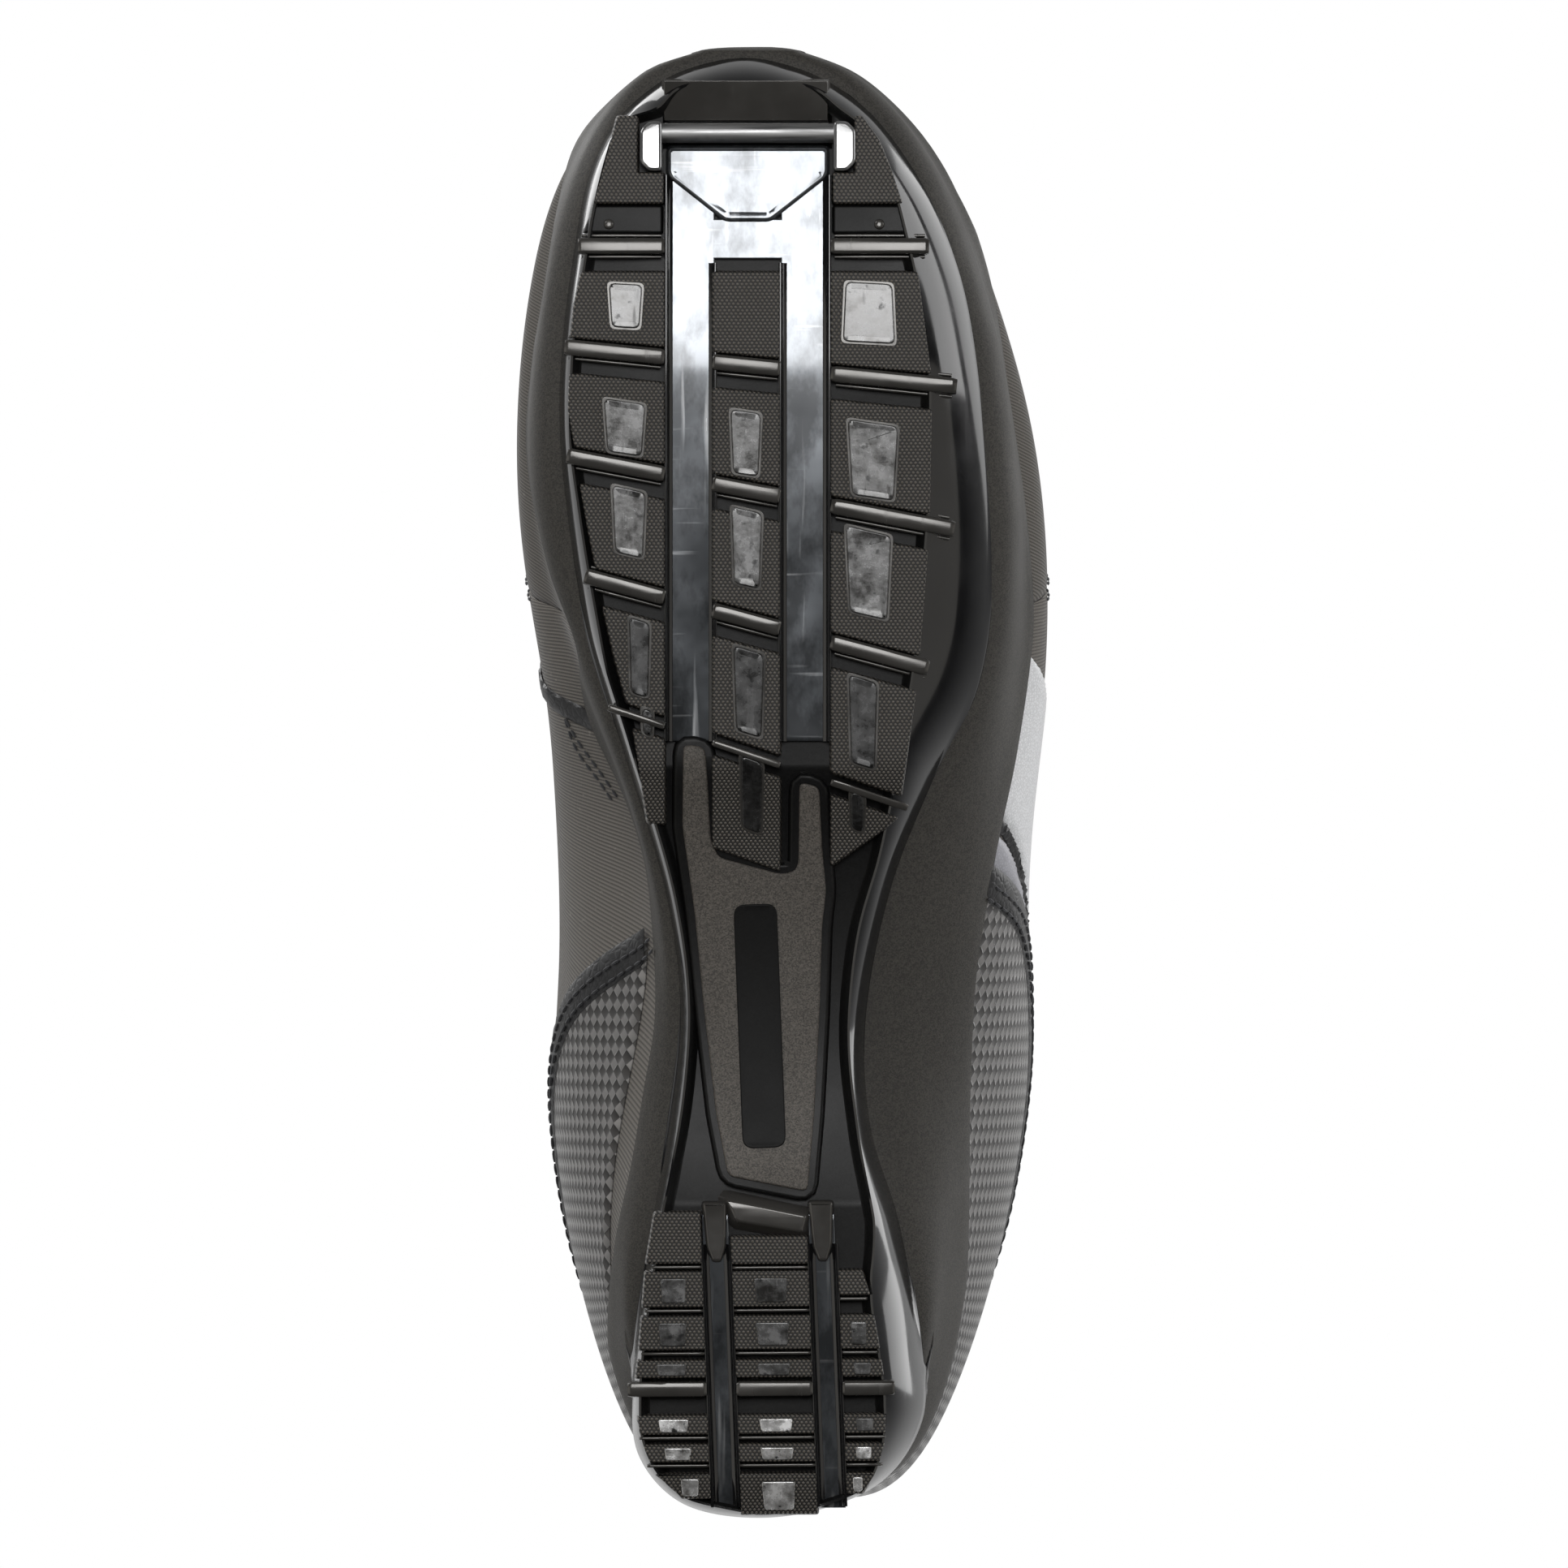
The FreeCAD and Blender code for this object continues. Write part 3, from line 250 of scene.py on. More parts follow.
class Build:
    """Collects the vertices and faces of one piece that is made of several closed bodies."""

    def __init__(self):
        self.vertices = []
        self.faces = []
        self.slots = []

    def add(self, vertices, faces, slot=0):
        start = len(self.vertices)
        self.vertices.extend(tuple(v) for v in vertices)
        for face in faces:
            self.faces.append([start + i for i in face])
            self.slots.append(slot)

    def rings(self, rings, slot=0, close_ends=True):
        """Joins closed loops of equal length, one to the next, and caps the first and the last."""
        count = len(rings[0])
        faces = band_faces(len(rings), count)
        if close_ends:
            last_ring = (len(rings) - 1) * count
            faces.append(list(range(count))[::-1])
            faces.append([last_ring + i for i in range(count)])
        self.add([v for ring in rings for v in ring], faces, slot)

    def tube(self, path, radius_at, sides=6):
        """A closed cord along a path. radius_at gives its radius, from 0 at its start to 1 at its end."""
        turns = [2 * math.pi * k / sides for k in range(sides)]
        rings = []
        for i, p in enumerate(path):
            tangent = (path[min(i + 1, len(path) - 1)] - path[max(i - 1, 0)]).normalized()
            side = tangent.cross(Vector((0, 0, 1)))
            if side.length < 1e-4:
                side = tangent.cross(Vector((1, 0, 0)))
            side.normalize()
            lift = side.cross(tangent)
            r = radius_at(i / (len(path) - 1))
            rings.append([p + side * (math.cos(a) * r) + lift * (math.sin(a) * r) for a in turns])
        self.rings(rings)

    def object(self, name, materials, uv_plan=False, sharp_deg=38.0):
        """The finished piece. With uv_plan the surface coordinates are the plan position in millimetres."""
        uv = [(v[0], v[1]) for v in self.vertices] if uv_plan else None
        obj = new_object(name, self.vertices, self.faces, materials, self.slots, uv, sharp_deg)
        fix_normals(obj)
        return obj


# ---------------------------------------------------------------------------------------------
# The last: the same rings as the CAD upper, as one smooth surface
# ---------------------------------------------------------------------------------------------

# Each ring: its foot (y, z) and its crown (y, z), then half-widths at the foot, at the seam and at the widest
# point, for the lateral and the medial side, and how far up the ring the seam and the widest point lie.
RINGS = [
    ((-147.5, 19.8), (-147.5, 30), (2, 3, 4), (16, 17, 18), (0.35, 0.60)),
    ((-144, 18.6), (-144, 38), (10, 12, 13.5), (25, 27, 28.5), (0.32, 0.55)),
    ((-137.5, 17.0), (-137.5, 46), (17, 20, 22), (31, 34, 36), (0.30, 0.50)),
    ((-128, 15.2), (-128, 52.5), (24, 28, 30.5), (36, 40.5, 43), (0.30, 0.46)),
    ((-104, 12.8), (-104, 60), (34, 39, 42), (42, 47.5, 51), (0.28, 0.42)),
    ((-76, 11.9), (-78, 67.5), (40, 45.5, 50), (44, 50.5, 54), (0.25, 0.38)),
    ((-46, 12.3), (-52, 81.6), (41, 48, 53.8), (41, 48.5, 53), (0.22, 0.36)),
    ((-14, 13.6), (-30, 93.9), (35, 46.5, 53.5), (33, 38.5, 48.5), (0.20, 0.38)),
    ((24, 16.0), (-10, 105.1), (21, 41, 50.5), (23, 28, 45.5), (0.16, 0.42)),
    ((66, 19.0), (1, 111.5), (18, 36, 49.5), (21, 31, 45.5), (0.14, 0.42)),
    ((112, 20.6), (7, 119), (25, 33, 49), (26, 34, 46.5), (0.12, 0.45)),
    ((141, 34), (9, 130), (13, 31, 47.5), (13, 31, 45.5), (0.10, 0.48)),
    ((146.5, 74), (9, 141), (11, 28, 45.5), (11, 28, 44), (0.09, 0.50)),
    ((141, 118), (7, 153), (11, 27, 43.5), (11, 27, 43), (0.09, 0.50)),
    ((138.5, 156), (4, 165.5), (11, 27, 43.5), (11, 27, 43.5), (0.09, 0.50)),
]
CROWN_X = -5.0
CROWN_POWER = 2.25
CROWN_ANGLES = (28, 52, 72)
# An outset grows forwards near the toe and fades to sideways growth behind it.
TOE_Y, TOE_FADE, TOE_SPREAD = -148.0, 40.0, 15.0


def ring_points(ring, outset):
    """Points round one ring, counted from its foot up the lateral side and down the medial side."""
    (foot_y, foot_z), (crown_y, crown_z), lateral, medial, (seam, widest) = ring
    foot, crown = np.array([0, foot_y, foot_z]), np.array([0, crown_y, crown_z])
    height = np.linalg.norm(crown - foot)
    up = (crown - foot) / height
    behind_toe = foot_y - TOE_Y
    forwards = np.array([0, -outset * max(0.0, 1 - behind_toe / TOE_FADE), 0])
    outwards = outset * min(1.0, 0.4 + behind_toe / TOE_SPREAD)
    centre = CROWN_X * min(1.0, max(0.0, -(crown_y + 40) / 60))

    def side(widths, sign):
        at_foot, at_seam, at_widest = (w * sign for w in widths)
        path = [(at_foot, 0.012 * height), (at_seam, seam * height), (at_widest, widest * height)]
        for degrees in CROWN_ANGLES:
            cos, sin = math.cos(math.radians(degrees)), math.sin(math.radians(degrees))
            x = centre + (at_widest - centre) * cos ** (2 / CROWN_POWER)
            path.append((x, height * (widest + (1 - widest) * sin ** (2 / CROWN_POWER))))
        return path

    middle = (lateral[0] - medial[0]) / 2
    flat = [(middle, 0.0)] + side(lateral, 1) + [(centre, height)] + side(medial, -1)[::-1]
    points = []
    for i, (x, h) in enumerate(flat):
        (x0, h0), (x1, h1) = flat[i - 1], flat[(i + 1) % len(flat)]
        length = math.hypot(x1 - x0, h1 - h0)
        normal_x, normal_h = (h1 - h0) / length, -(x1 - x0) / length
        sideways = np.array([x + outwards * normal_x, 0, 0])
        points.append(foot + forwards + sideways + up * (h + outwards * normal_h))
    return np.array(points)


def natural_spline(knots, values, at):
    """Cubic spline through values at knots, read at new places. values may hold vectors."""
    n = len(knots)
    h = np.diff(knots)
    system = np.zeros((n, n))
    right = np.zeros((n,) + values.shape[1:])
    system[0, 0] = system[-1, -1] = 1
    for i in range(1, n - 1):
        system[i, i - 1 : i + 2] = (h[i - 1], 2 * (h[i - 1] + h[i]), h[i])
        right[i] = 6 * ((values[i + 1] - values[i]) / h[i] - (values[i] - values[i - 1]) / h[i - 1])
    second = np.linalg.solve(system, right.reshape(n, -1)).reshape(right.shape)
    cell = np.clip(np.searchsorted(knots, at, side="right") - 1, 0, n - 2)
    shape = (-1,) + (1,) * (values.ndim - 1)
    width = h[cell].reshape(shape)
    a = (knots[cell + 1] - at).reshape(shape) / width
    b = (at - knots[cell]).reshape(shape) / width
    curved = ((a**3 - a) * second[cell] + (b**3 - b) * second[cell + 1]) * width**2 / 6
    return a * values[cell] + b * values[cell + 1] + curved


def round_spline(values, count):
    """Closed cubic spline through equally spaced values, read at count equal steps. Axis 0 is the loop."""
    n = len(values)
    system = np.zeros((n, n))
    for i in range(n):
        system[i, i], system[i, i - 1], system[i, (i + 1) % n] = 4, 1, 1
    right = 6 * (np.roll(values, -1, 0) - 2 * values + np.roll(values, 1, 0))
    second = np.linalg.solve(system, right.reshape(n, -1)).reshape(values.shape)
    at = np.arange(count) * n / count
    cell = np.floor(at).astype(int) % n
    following = (cell + 1) % n
    shape = (-1,) + (1,) * (values.ndim - 1)
    b = (at - np.floor(at)).reshape(shape)
    a = 1 - b
    curved = ((a**3 - a) * second[cell] + (b**3 - b) * second[following]) / 6
    return a * values[cell] + b * values[following] + curved


ROUND_STEPS = 264
ALONG_STEPS = 280
NOSE_STEPS, NOSE_REACH, NOSE_DEGREES = 7, 1.2, 88


def last_grid(outset):
    """The last at an offset, as an array [along, round, xyz]. A rounded nose closes its flat toe end."""
    rings = np.array([ring_points(ring, outset) for ring in RINGS])
    knots = np.zeros(len(rings))
    knots[1:] = np.cumsum(np.linalg.norm(np.diff(rings, axis=0), axis=2).mean(1))
    steps = np.linspace(0, knots[-1], ALONG_STEPS)
    along = natural_spline(knots, rings, steps)
    grid = round_spline(along.transpose(1, 0, 2), ROUND_STEPS).transpose(1, 0, 2)
    middle = grid[0].mean(0)
    nose = []
    for k in range(NOSE_STEPS, 0, -1):
        angle = math.radians(NOSE_DEGREES) * k / NOSE_STEPS
        forwards = np.array([0, -NOSE_REACH * math.sin(angle), 0])
        nose.append(middle + (grid[0] - middle) * math.cos(angle) + forwards)
    return np.concatenate([np.array(nose), grid], 0)


LAST = last_grid(0.0)
OUTWARD = last_grid(1.0) - LAST

# Surface coordinates: millimetres round the boot from its lowest line, and millimetres back from the toe
STEP_ROUND = np.linalg.norm(np.roll(LAST, -1, 1) - LAST, axis=2)
GIRTH = STEP_ROUND.sum(1, keepdims=True)
ROUND_MM = np.cumsum(STEP_ROUND, axis=1) - STEP_ROUND
ROUND_MM = np.where(ROUND_MM > GIRTH / 2, ROUND_MM - GIRTH, ROUND_MM)
STEP_ALONG = np.linalg.norm(np.diff(LAST, axis=0), axis=2).mean(1)
ALONG_MM = np.repeat(np.concatenate([[0], np.cumsum(STEP_ALONG)])[:, None], ROUND_STEPS, 1)
X, Y, Z = LAST[..., 0], LAST[..., 1], LAST[..., 2]

GRID_FACES = np.array(band_faces(len(LAST), ROUND_STEPS))
LAST_TREE = BVHTree.FromPolygons(LAST.reshape(-1, 3).tolist(), GRID_FACES.tolist())


def creases(p):
    """Depth of the hollows where the softshell folds, across the ball of the foot and round the ankle."""
    x, y, z = p[..., 0], p[..., 1], p[..., 2]
    front_fold = np.exp(-(((y + 52 + 0.12 * z + 3 * np.sin(x / 9)) / 4.0) ** 2)) * smoothstep((z - 40) / 15)
    back_fold = np.exp(-(((y + 40 + 0.10 * z - 2 * np.sin(x / 7)) / 3.6) ** 2)) * smoothstep((z - 46) / 15)
    ankle = np.zeros_like(z)
    # height of each fold at the instep, how steeply it falls towards the heel, and its width
    for centre, slope, reach in ((104, 0.34, 5.0), (118, 0.26, 4.5), (133, 0.2, 5.0)):
        line = z - centre + slope * (y - 20) + 2.5 * np.sin(y / 11 + centre)
        fade = smoothstep((70 - y) / 50) * smoothstep((y + 30) / 30)
        ankle += np.exp(-((line / reach) ** 2)) * fade
    ankle *= smoothstep((np.abs(x) - 16) / 12)
    waves = np.sin(y / 17 + z / 23) * np.sin(z / 15 - x / 19) * 0.25 * smoothstep((z - 35) / 20)
    return waves - 0.9 * front_fold - 0.7 * back_fold - 0.75 * ankle


# Numbers that run round the boot differ by more than this across the line where they start again
SEAM_JUMP = 60.0


def cut_faces(rows, value, faces, round_column=None):
    """Keeps the positive side of value: the rows that are still in use, and the faces between them.

    A face that crosses the zero line is cut there, and each new row is read off the edge that it cuts. The
    numbers in round_column run round the boot, so they aren't blended where they start again.
    """
    inside = value > 0
    count_in = inside[faces].sum(1)
    extra, cache = [], {}
    polygons = [list(face) for face in faces[count_in == 4]]

    def crossing(a, b):
        key = (min(a, b), max(a, b))
        if key not in cache:
            t = value[a] / (value[a] - value[b])
            row_a, row_b = rows[a].copy(), rows[b].copy()
            if round_column is not None and abs(row_b[round_column] - row_a[round_column]) > SEAM_JUMP:
                row_b[round_column] = row_a[round_column]
            extra.append(row_a * (1 - t) + row_b * t)
            cache[key] = len(rows) + len(extra) - 1
        return cache[key]

    for face in faces[(count_in > 0) & (count_in < 4)]:
        polygon = []
        for i in range(4):
            a, b = face[i], face[(i + 1) % 4]
            if inside[a]:
                polygon.append(a)
            if inside[a] != inside[b]:
                polygon.append(crossing(a, b))
        if len(polygon) > 2:
            polygons.append(polygon)
    everything = np.concatenate([rows, np.array(extra)], 0)
    used = np.unique(np.concatenate([np.asarray(p) for p in polygons]))
    index = np.full(len(everything), -1)
    index[used] = np.arange(len(used))
    return everything[used], [[int(index[i]) for i in p] for p in polygons]


class Sheet:
    """Part of the last's surface, cut out by a field that is positive inside."""

    def __init__(self, field):
        value = np.asarray(field, float).reshape(-1)
        value = np.where(np.abs(value) < 1e-4, 1e-4, value)
        columns = [LAST.reshape(-1, 3), OUTWARD.reshape(-1, 3)]
        columns += [ROUND_MM.reshape(-1, 1), ALONG_MM.reshape(-1, 1)]
        data, self.faces = cut_faces(np.concatenate(columns + [value[:, None]], 1), value, GRID_FACES, 6)
        self.points = data[:, 0:3]
        self.outward = data[:, 3:6]
        self.surface = data[:, 6:8]
        self.field = data[:, 8]

    def border(self):
        """Directed border edges of the sheet."""
        edges = dict.fromkeys((a, b) for face in self.faces for a, b in zip(face, face[1:] + face[:1]))
        return [(a, b) for a, b in edges if (b, a) not in edges]

    def closed(self, name, outer, inner, materials, sharp_deg=40.0):
        """Joins an outer and an inner copy of the sheet into one closed piece."""
        count = len(self.points)
        faces = self.faces + [[i + count for i in face][::-1] for face in self.faces]
        faces += [[b, a, a + count, b + count] for a, b in self.border()]
        uv = np.concatenate([self.surface, self.surface], 0)
        return new_object(name, np.concatenate([outer, inner], 0), faces, materials, None, uv, sharp_deg)

    def solid(self, name, materials, outset, thickness, edge=1.2, edge_drop=0.75, relief=None):
        """Closes the sheet into a padded panel. Its edge dips towards the surface over the width of edge."""
        fall = 1 - edge_drop * (1 - smoothstep(self.field / edge)) if edge else np.ones(len(self.field))
        extra = relief(self) if relief else np.zeros(len(self.field))
        outer = self.points + self.outward * (outset + thickness * fall + extra)[:, None]
        inner = self.points + self.outward * (outset + np.minimum(extra, 0.0))[:, None]
        return self.closed(name, outer, inner, materials)


def both(*fields):
    """Positive where every field is."""
    return np.minimum.reduce(fields)


def without(field, other):
    return np.minimum(field, -other)


def on_surface(y, z, side, lift=0.0):
    """The point of the last at (y, z) on one side (+1 lateral, -1 medial), lifted off it."""
    hit = LAST_TREE.ray_cast(Vector((side * 150, y, z)), Vector((-side, 0, 0)))
    if hit[0] is None:
        return None
    normal = hit[1]
    if normal.x * side < 0:
        normal = -normal
    return hit[0] + normal * lift


def under_surface(x, y, lift=0.0):
    """The point of the last straight above (x, y), seen from below, pushed outwards by lift."""
    hit = LAST_TREE.ray_cast(Vector((x, y, -50)), Vector((0, 0, 1)))
    if hit[0] is None:
        return None
    normal = hit[1]
    if normal.z > 0:
        normal = -normal
    return hit[0] + normal * lift


# ---------------------------------------------------------------------------------------------
# Materials
# ---------------------------------------------------------------------------------------------


class Shade:
    """A helper round one material's nodes. Sockets are passed about, and numbers can stand in for them."""

    def __init__(self, name):
        self.material = bpy.data.materials.new(name)
        self.material.use_nodes = True
        self.tree = self.material.node_tree
        self.bsdf = self.tree.nodes["Principled BSDF"]
        self.xy = None

    def put(self, socket, value):
        if isinstance(value, bpy.types.NodeSocket):
            self.tree.links.new(value, socket)
        elif isinstance(value, (tuple, list)) and len(value) == 3 and socket.type == "RGBA":
            socket.default_value = (*value, 1.0)
        else:
            socket.default_value = value

    def node(self, kind, **settings):
        made = self.tree.nodes.new(kind)
        for key, value in settings.items():
            setattr(made, key, value)
        return made

    def math(self, operation, a, b=0.0, c=0.0):
        made = self.node("ShaderNodeMath", operation=operation)
        self.put(made.inputs[0], a)
        self.put(made.inputs[1], b)
        self.put(made.inputs[2], c)
        return made.outputs[0]

    def plane(self):
        """The surface coordinates in millimetres, as two sockets."""
        if self.xy is None:
            uv = self.node("ShaderNodeUVMap", uv_map="surface")
            split = self.node("ShaderNodeSeparateXYZ")
            self.put(split.inputs[0], uv.outputs[0])
            self.xy = (split.outputs[0], split.outputs[1])
        return self.xy

    def turned(self, degrees):
        """The surface coordinates turned by an angle."""
        u, v = self.plane()
        c, s = math.cos(math.radians(degrees)), math.sin(math.radians(degrees))
        across = self.math("MULTIPLY_ADD", u, c, self.math("MULTIPLY", v, s))
        along = self.math("MULTIPLY_ADD", v, c, self.math("MULTIPLY", u, -s))
        return across, along

    def wave(self, socket, pitch, sharp=1.0):
        """0 to 1 ridges along a coordinate. A higher sharp makes the ridges narrower."""
        turned = self.math("SINE", self.math("MULTIPLY", socket, 2 * math.pi / pitch))
        lifted = self.math("MULTIPLY_ADD", turned, 0.5, 0.5)
        return lifted if sharp == 1.0 else self.math("POWER", lifted, sharp)

    def noise(self, scale, detail=3.0, stretch=(1, 1, 1), rough=0.55):
        """Noise in object space. scale is per metre."""
        place = self.node("ShaderNodeTexCoord")
        mapping = self.node("ShaderNodeMapping")
        self.put(mapping.inputs["Vector"], place.outputs["Object"])
        mapping.inputs["Scale"].default_value = stretch
        made = self.node("ShaderNodeTexNoise")
        self.put(made.inputs["Vector"], mapping.outputs[0])
        made.inputs["Scale"].default_value = scale
        made.inputs["Detail"].default_value = detail
        made.inputs["Roughness"].default_value = rough
        return made.outputs["Fac"]

    def flakes(self, scale):
        """Random grey per small cell."""
        place = self.node("ShaderNodeTexCoord")
        made = self.node("ShaderNodeTexVoronoi")
        self.put(made.inputs["Vector"], place.outputs["Object"])
        made.inputs["Scale"].default_value = scale
        split = self.node("ShaderNodeSeparateXYZ")
        self.put(split.inputs[0], made.outputs["Color"])
        return split.outputs[0]

    def span(self, socket, low, high, to_low=0.0, to_high=1.0):
        made = self.node("ShaderNodeMapRange")
        for index, value in enumerate((socket, low, high, to_low, to_high)):
            self.put(made.inputs[index], value)
        return made.outputs[0]

    def mix(self, factor, a, b):
        made = self.node("ShaderNodeMix", data_type="RGBA")
        self.put(made.inputs["Factor"], factor)
        self.put(made.inputs["A"], a)
        self.put(made.inputs["B"], b)
        return made.outputs["Result"]

    def bump(self, height, distance_mm, strength=1.0):
        made = self.node("ShaderNodeBump")
        made.inputs["Strength"].default_value = strength
        made.inputs["Distance"].default_value = distance_mm * MM
        self.put(made.inputs["Height"], height)
        before = self.bsdf.inputs["Normal"]
        if before.is_linked:
            self.put(made.inputs["Normal"], before.links[0].from_socket)
        self.tree.links.new(made.outputs[0], before)

    def set(self, **values):
        for key, value in values.items():
            self.put(self.bsdf.inputs[key.replace("_", " ")], value)
        return self.material


def scaled(colour, factor):
    """A colour made darker or lighter, up to white."""
    return tuple(min(1.0, c * factor) for c in colour)


def gloss_black(name, colour, roughness, scratch=0.5, coat=0.0, metallic=0.0, clouds=0.0):
    """Moulded glossy plastic with fine scratches, smears and a slight unevenness in its reflections."""
    s = Shade(name)
    smear = s.noise(55, 4)
    lines = s.noise(420, 2, (1.0, 0.06, 1.0))
    cross = s.noise(600, 2, (0.07, 1.0, 1.0))
    worn = s.math("MULTIPLY", s.span(lines, 0.62, 0.74), scratch)
    worn = s.math("MAXIMUM", worn, s.math("MULTIPLY", s.span(cross, 0.66, 0.78), scratch * 0.6))
    smudged = s.span(smear, 0.35, 0.75, roughness * 0.75, roughness * 1.9)
    rough = s.math("ADD", smudged, s.math("MULTIPLY", worn, 0.16))
    s.bump(s.noise(38, 2), 0.05, 0.5)
    s.bump(lines, 0.01, 0.5 * scratch)
    base = s.mix(s.span(smear, 0.4, 0.8), colour, tuple(c * 1.4 + 0.003 for c in colour))
    if clouds:
        cloud = s.noise(62, 5, (1.5, 0.8, 1.0), 0.65)
        base = s.mix(s.span(cloud, 0.46, 0.6, 0.0, clouds), base, scaled(colour, 0.3))
        base = s.mix(s.math("MULTIPLY", worn, 0.35), base, (0.5, 0.5, 0.5))
    return s.set(
        Base_Color=base, Roughness=rough, IOR=1.52, Coat_Weight=coat, Coat_Roughness=0.05, Metallic=metallic,
    )


def tread_weave(name):
    """Dark rubber moulded with rows of small oval studs, staggered like a basket weave."""
    s = Shade(name)
    across, along = s.plane()
    pitches, stud_halves = (0.9, 1.3), (0.29, 0.32)
    studs = 0.0
    for shift in (0.0, 0.5):
        squares = []
        for place, pitch, half in zip((across, along), pitches, stud_halves):
            cell = s.math("SUBTRACT", s.math("FRACT", s.math("MULTIPLY_ADD", place, 1 / pitch, shift)), 0.5)
            cell = s.math("MULTIPLY", cell, pitch / half)
            squares.append(s.math("MULTIPLY", cell, cell))
        stud = s.math("SUBTRACT", 1.0, s.math("ADD", *squares))
        studs = s.math("MAXIMUM", stud, studs)
    dirt = s.noise(90, 4)
    # painted highlight: the stud tops are painted far paler than the rubber between them, standing in for
    # their glint
    top = s.span(studs, 0.0, 0.35)
    base = s.mix(top, (0.006, 0.0054, 0.0047), (0.11, 0.098, 0.083))
    base = s.mix(s.span(dirt, 0.62, 0.8, 0.0, 0.25), base, (0.05, 0.044, 0.038))
    s.bump(s.math("POWER", studs, 0.6), 0.22, 0.9)
    s.bump(s.noise(260, 3), 0.03, 0.4)
    return s.set(Base_Color=base, Roughness=s.span(studs, 0, 0.4, 0.6, 0.3), IOR=1.52)


def smooth_insert(name, shine, light):
    """The smooth islands of the pads, scuffed and smeared by walking. light scales how pale they are: the
    darkest copy is painted shade.
    """
    s = Shade(name)
    smear = s.noise(190, 6, rough=0.75)
    spots = s.noise(520, 3)
    scuff = s.noise(700, 2, (1.0, 0.1, 1.0))
    dark, pale = scaled((0.085, 0.083, 0.08), light), scaled((0.3, 0.3, 0.3), light)
    base = s.mix(s.span(smear, 0.38, 0.62), dark, pale)
    base = s.mix(s.span(spots, 0.62, 0.7), base, (0.03, 0.03, 0.03))
    s.bump(smear, 0.05, 0.6)
    scuffed = s.math("MULTIPLY", s.span(scuff, 0.6, 0.75), 0.15)
    rough = s.math("ADD", s.span(smear, 0.35, 0.7, 0.14, 0.36), scuffed)
    return s.set(Base_Color=base, Roughness=rough, IOR=1.52, Metallic=shine)


def speckled(name, colour, spread, roughness, flake=2600, gloss=0.5):
    """Matte plastic full of tiny light and dark flakes."""
    s = Shade(name)
    grain = s.flakes(flake)
    slow = s.noise(30, 3)
    base = s.mix(grain, scaled(colour, 1 - spread), scaled(colour, 1 + spread))
    base = s.mix(s.span(slow, 0.3, 0.7, 0.0, 0.25), base, scaled(colour, 0.6))
    s.bump(grain, 0.03, 0.5)
    s.bump(s.noise(500, 3), 0.03, 0.5)
    rough = s.span(slow, 0.3, 0.7, roughness * 0.9, roughness * 1.15)
    return s.set(Base_Color=base, Roughness=rough, Specular_IOR_Level=gloss)


def ribbed_cloth(name, colour, pitch, depth, turn=0.0, fine=0.42):
    """Stretch softshell: rows of fine ribs with the threads of the knit across them."""
    s = Shade(name)
    across, along = s.turned(turn)
    wobble = s.math("MULTIPLY_ADD", s.noise(35, 2), 1.2, along)
    ribs = s.wave(wobble, pitch, 0.8)
    threads = s.wave(s.math("MULTIPLY_ADD", ribs, 0.2, across), fine)
    lint = s.noise(900, 2)
    height = s.math("MULTIPLY_ADD", threads, 0.25, ribs)
    # painted shade: the hollows between the ribs and threads are painted far darker than the crests
    base = s.mix(height, scaled(colour, 0.35), colour)
    base = s.mix(s.span(lint, 0.68, 0.8, 0.0, 0.3), base, scaled(colour, 3.0))
    s.bump(height, depth, 0.8)
    s.bump(s.noise(60, 3), 0.25, 0.25)
    s.set(Sheen_Weight=0.25, Sheen_Roughness=0.45, Sheen_Tint=(0.6, 0.62, 0.66))
    return s.set(Base_Color=base, Roughness=0.82, Specular_IOR_Level=0.35)


def woven_cloth(name, colour, pitch, depth, turn, sheen=0.3):
    """Plain woven cloth or webbing."""
    s = Shade(name)
    a, b = s.turned(turn)
    over = s.math("MULTIPLY", s.wave(a, pitch), s.wave(b, pitch * 2))
    under = s.math("MULTIPLY", s.wave(b, pitch), s.wave(a, pitch * 2))
    weave = s.math("MAXIMUM", over, under)
    slow = s.noise(45, 3)
    # painted shade: the low parts of the weave are painted far darker than the crossings
    base = s.mix(weave, scaled(colour, 0.3), colour)
    base = s.mix(s.span(slow, 0.35, 0.7, 0.0, 0.3), base, scaled(colour, 0.5))
    s.bump(weave, depth, 0.8)
    s.set(Sheen_Weight=sheen, Sheen_Roughness=0.5, Sheen_Tint=(0.6, 0.62, 0.66))
    return s.set(Base_Color=base, Roughness=0.8, Specular_IOR_Level=0.3)


def knit(name, colour):
    """Soft brushed knit of the lining and the collar."""
    s = Shade(name)
    a, b = s.turned(0)
    zig = s.math("ADD", b, s.math("MULTIPLY", s.wave(a, 1.7), 0.8))
    loops = s.math("MULTIPLY", s.wave(zig, 1.3), s.wave(a, 0.85, 0.7))
    # painted shade: the hollows between the loops are painted darker than their crests
    base = s.mix(loops, scaled(colour, 0.4), colour)
    s.bump(loops, 0.25, 0.8)
    s.bump(s.noise(700, 3), 0.12, 0.5)
    s.set(Sheen_Weight=0.4, Sheen_Roughness=0.5)
    return s.set(Base_Color=base, Roughness=0.9, Specular_IOR_Level=0.25)


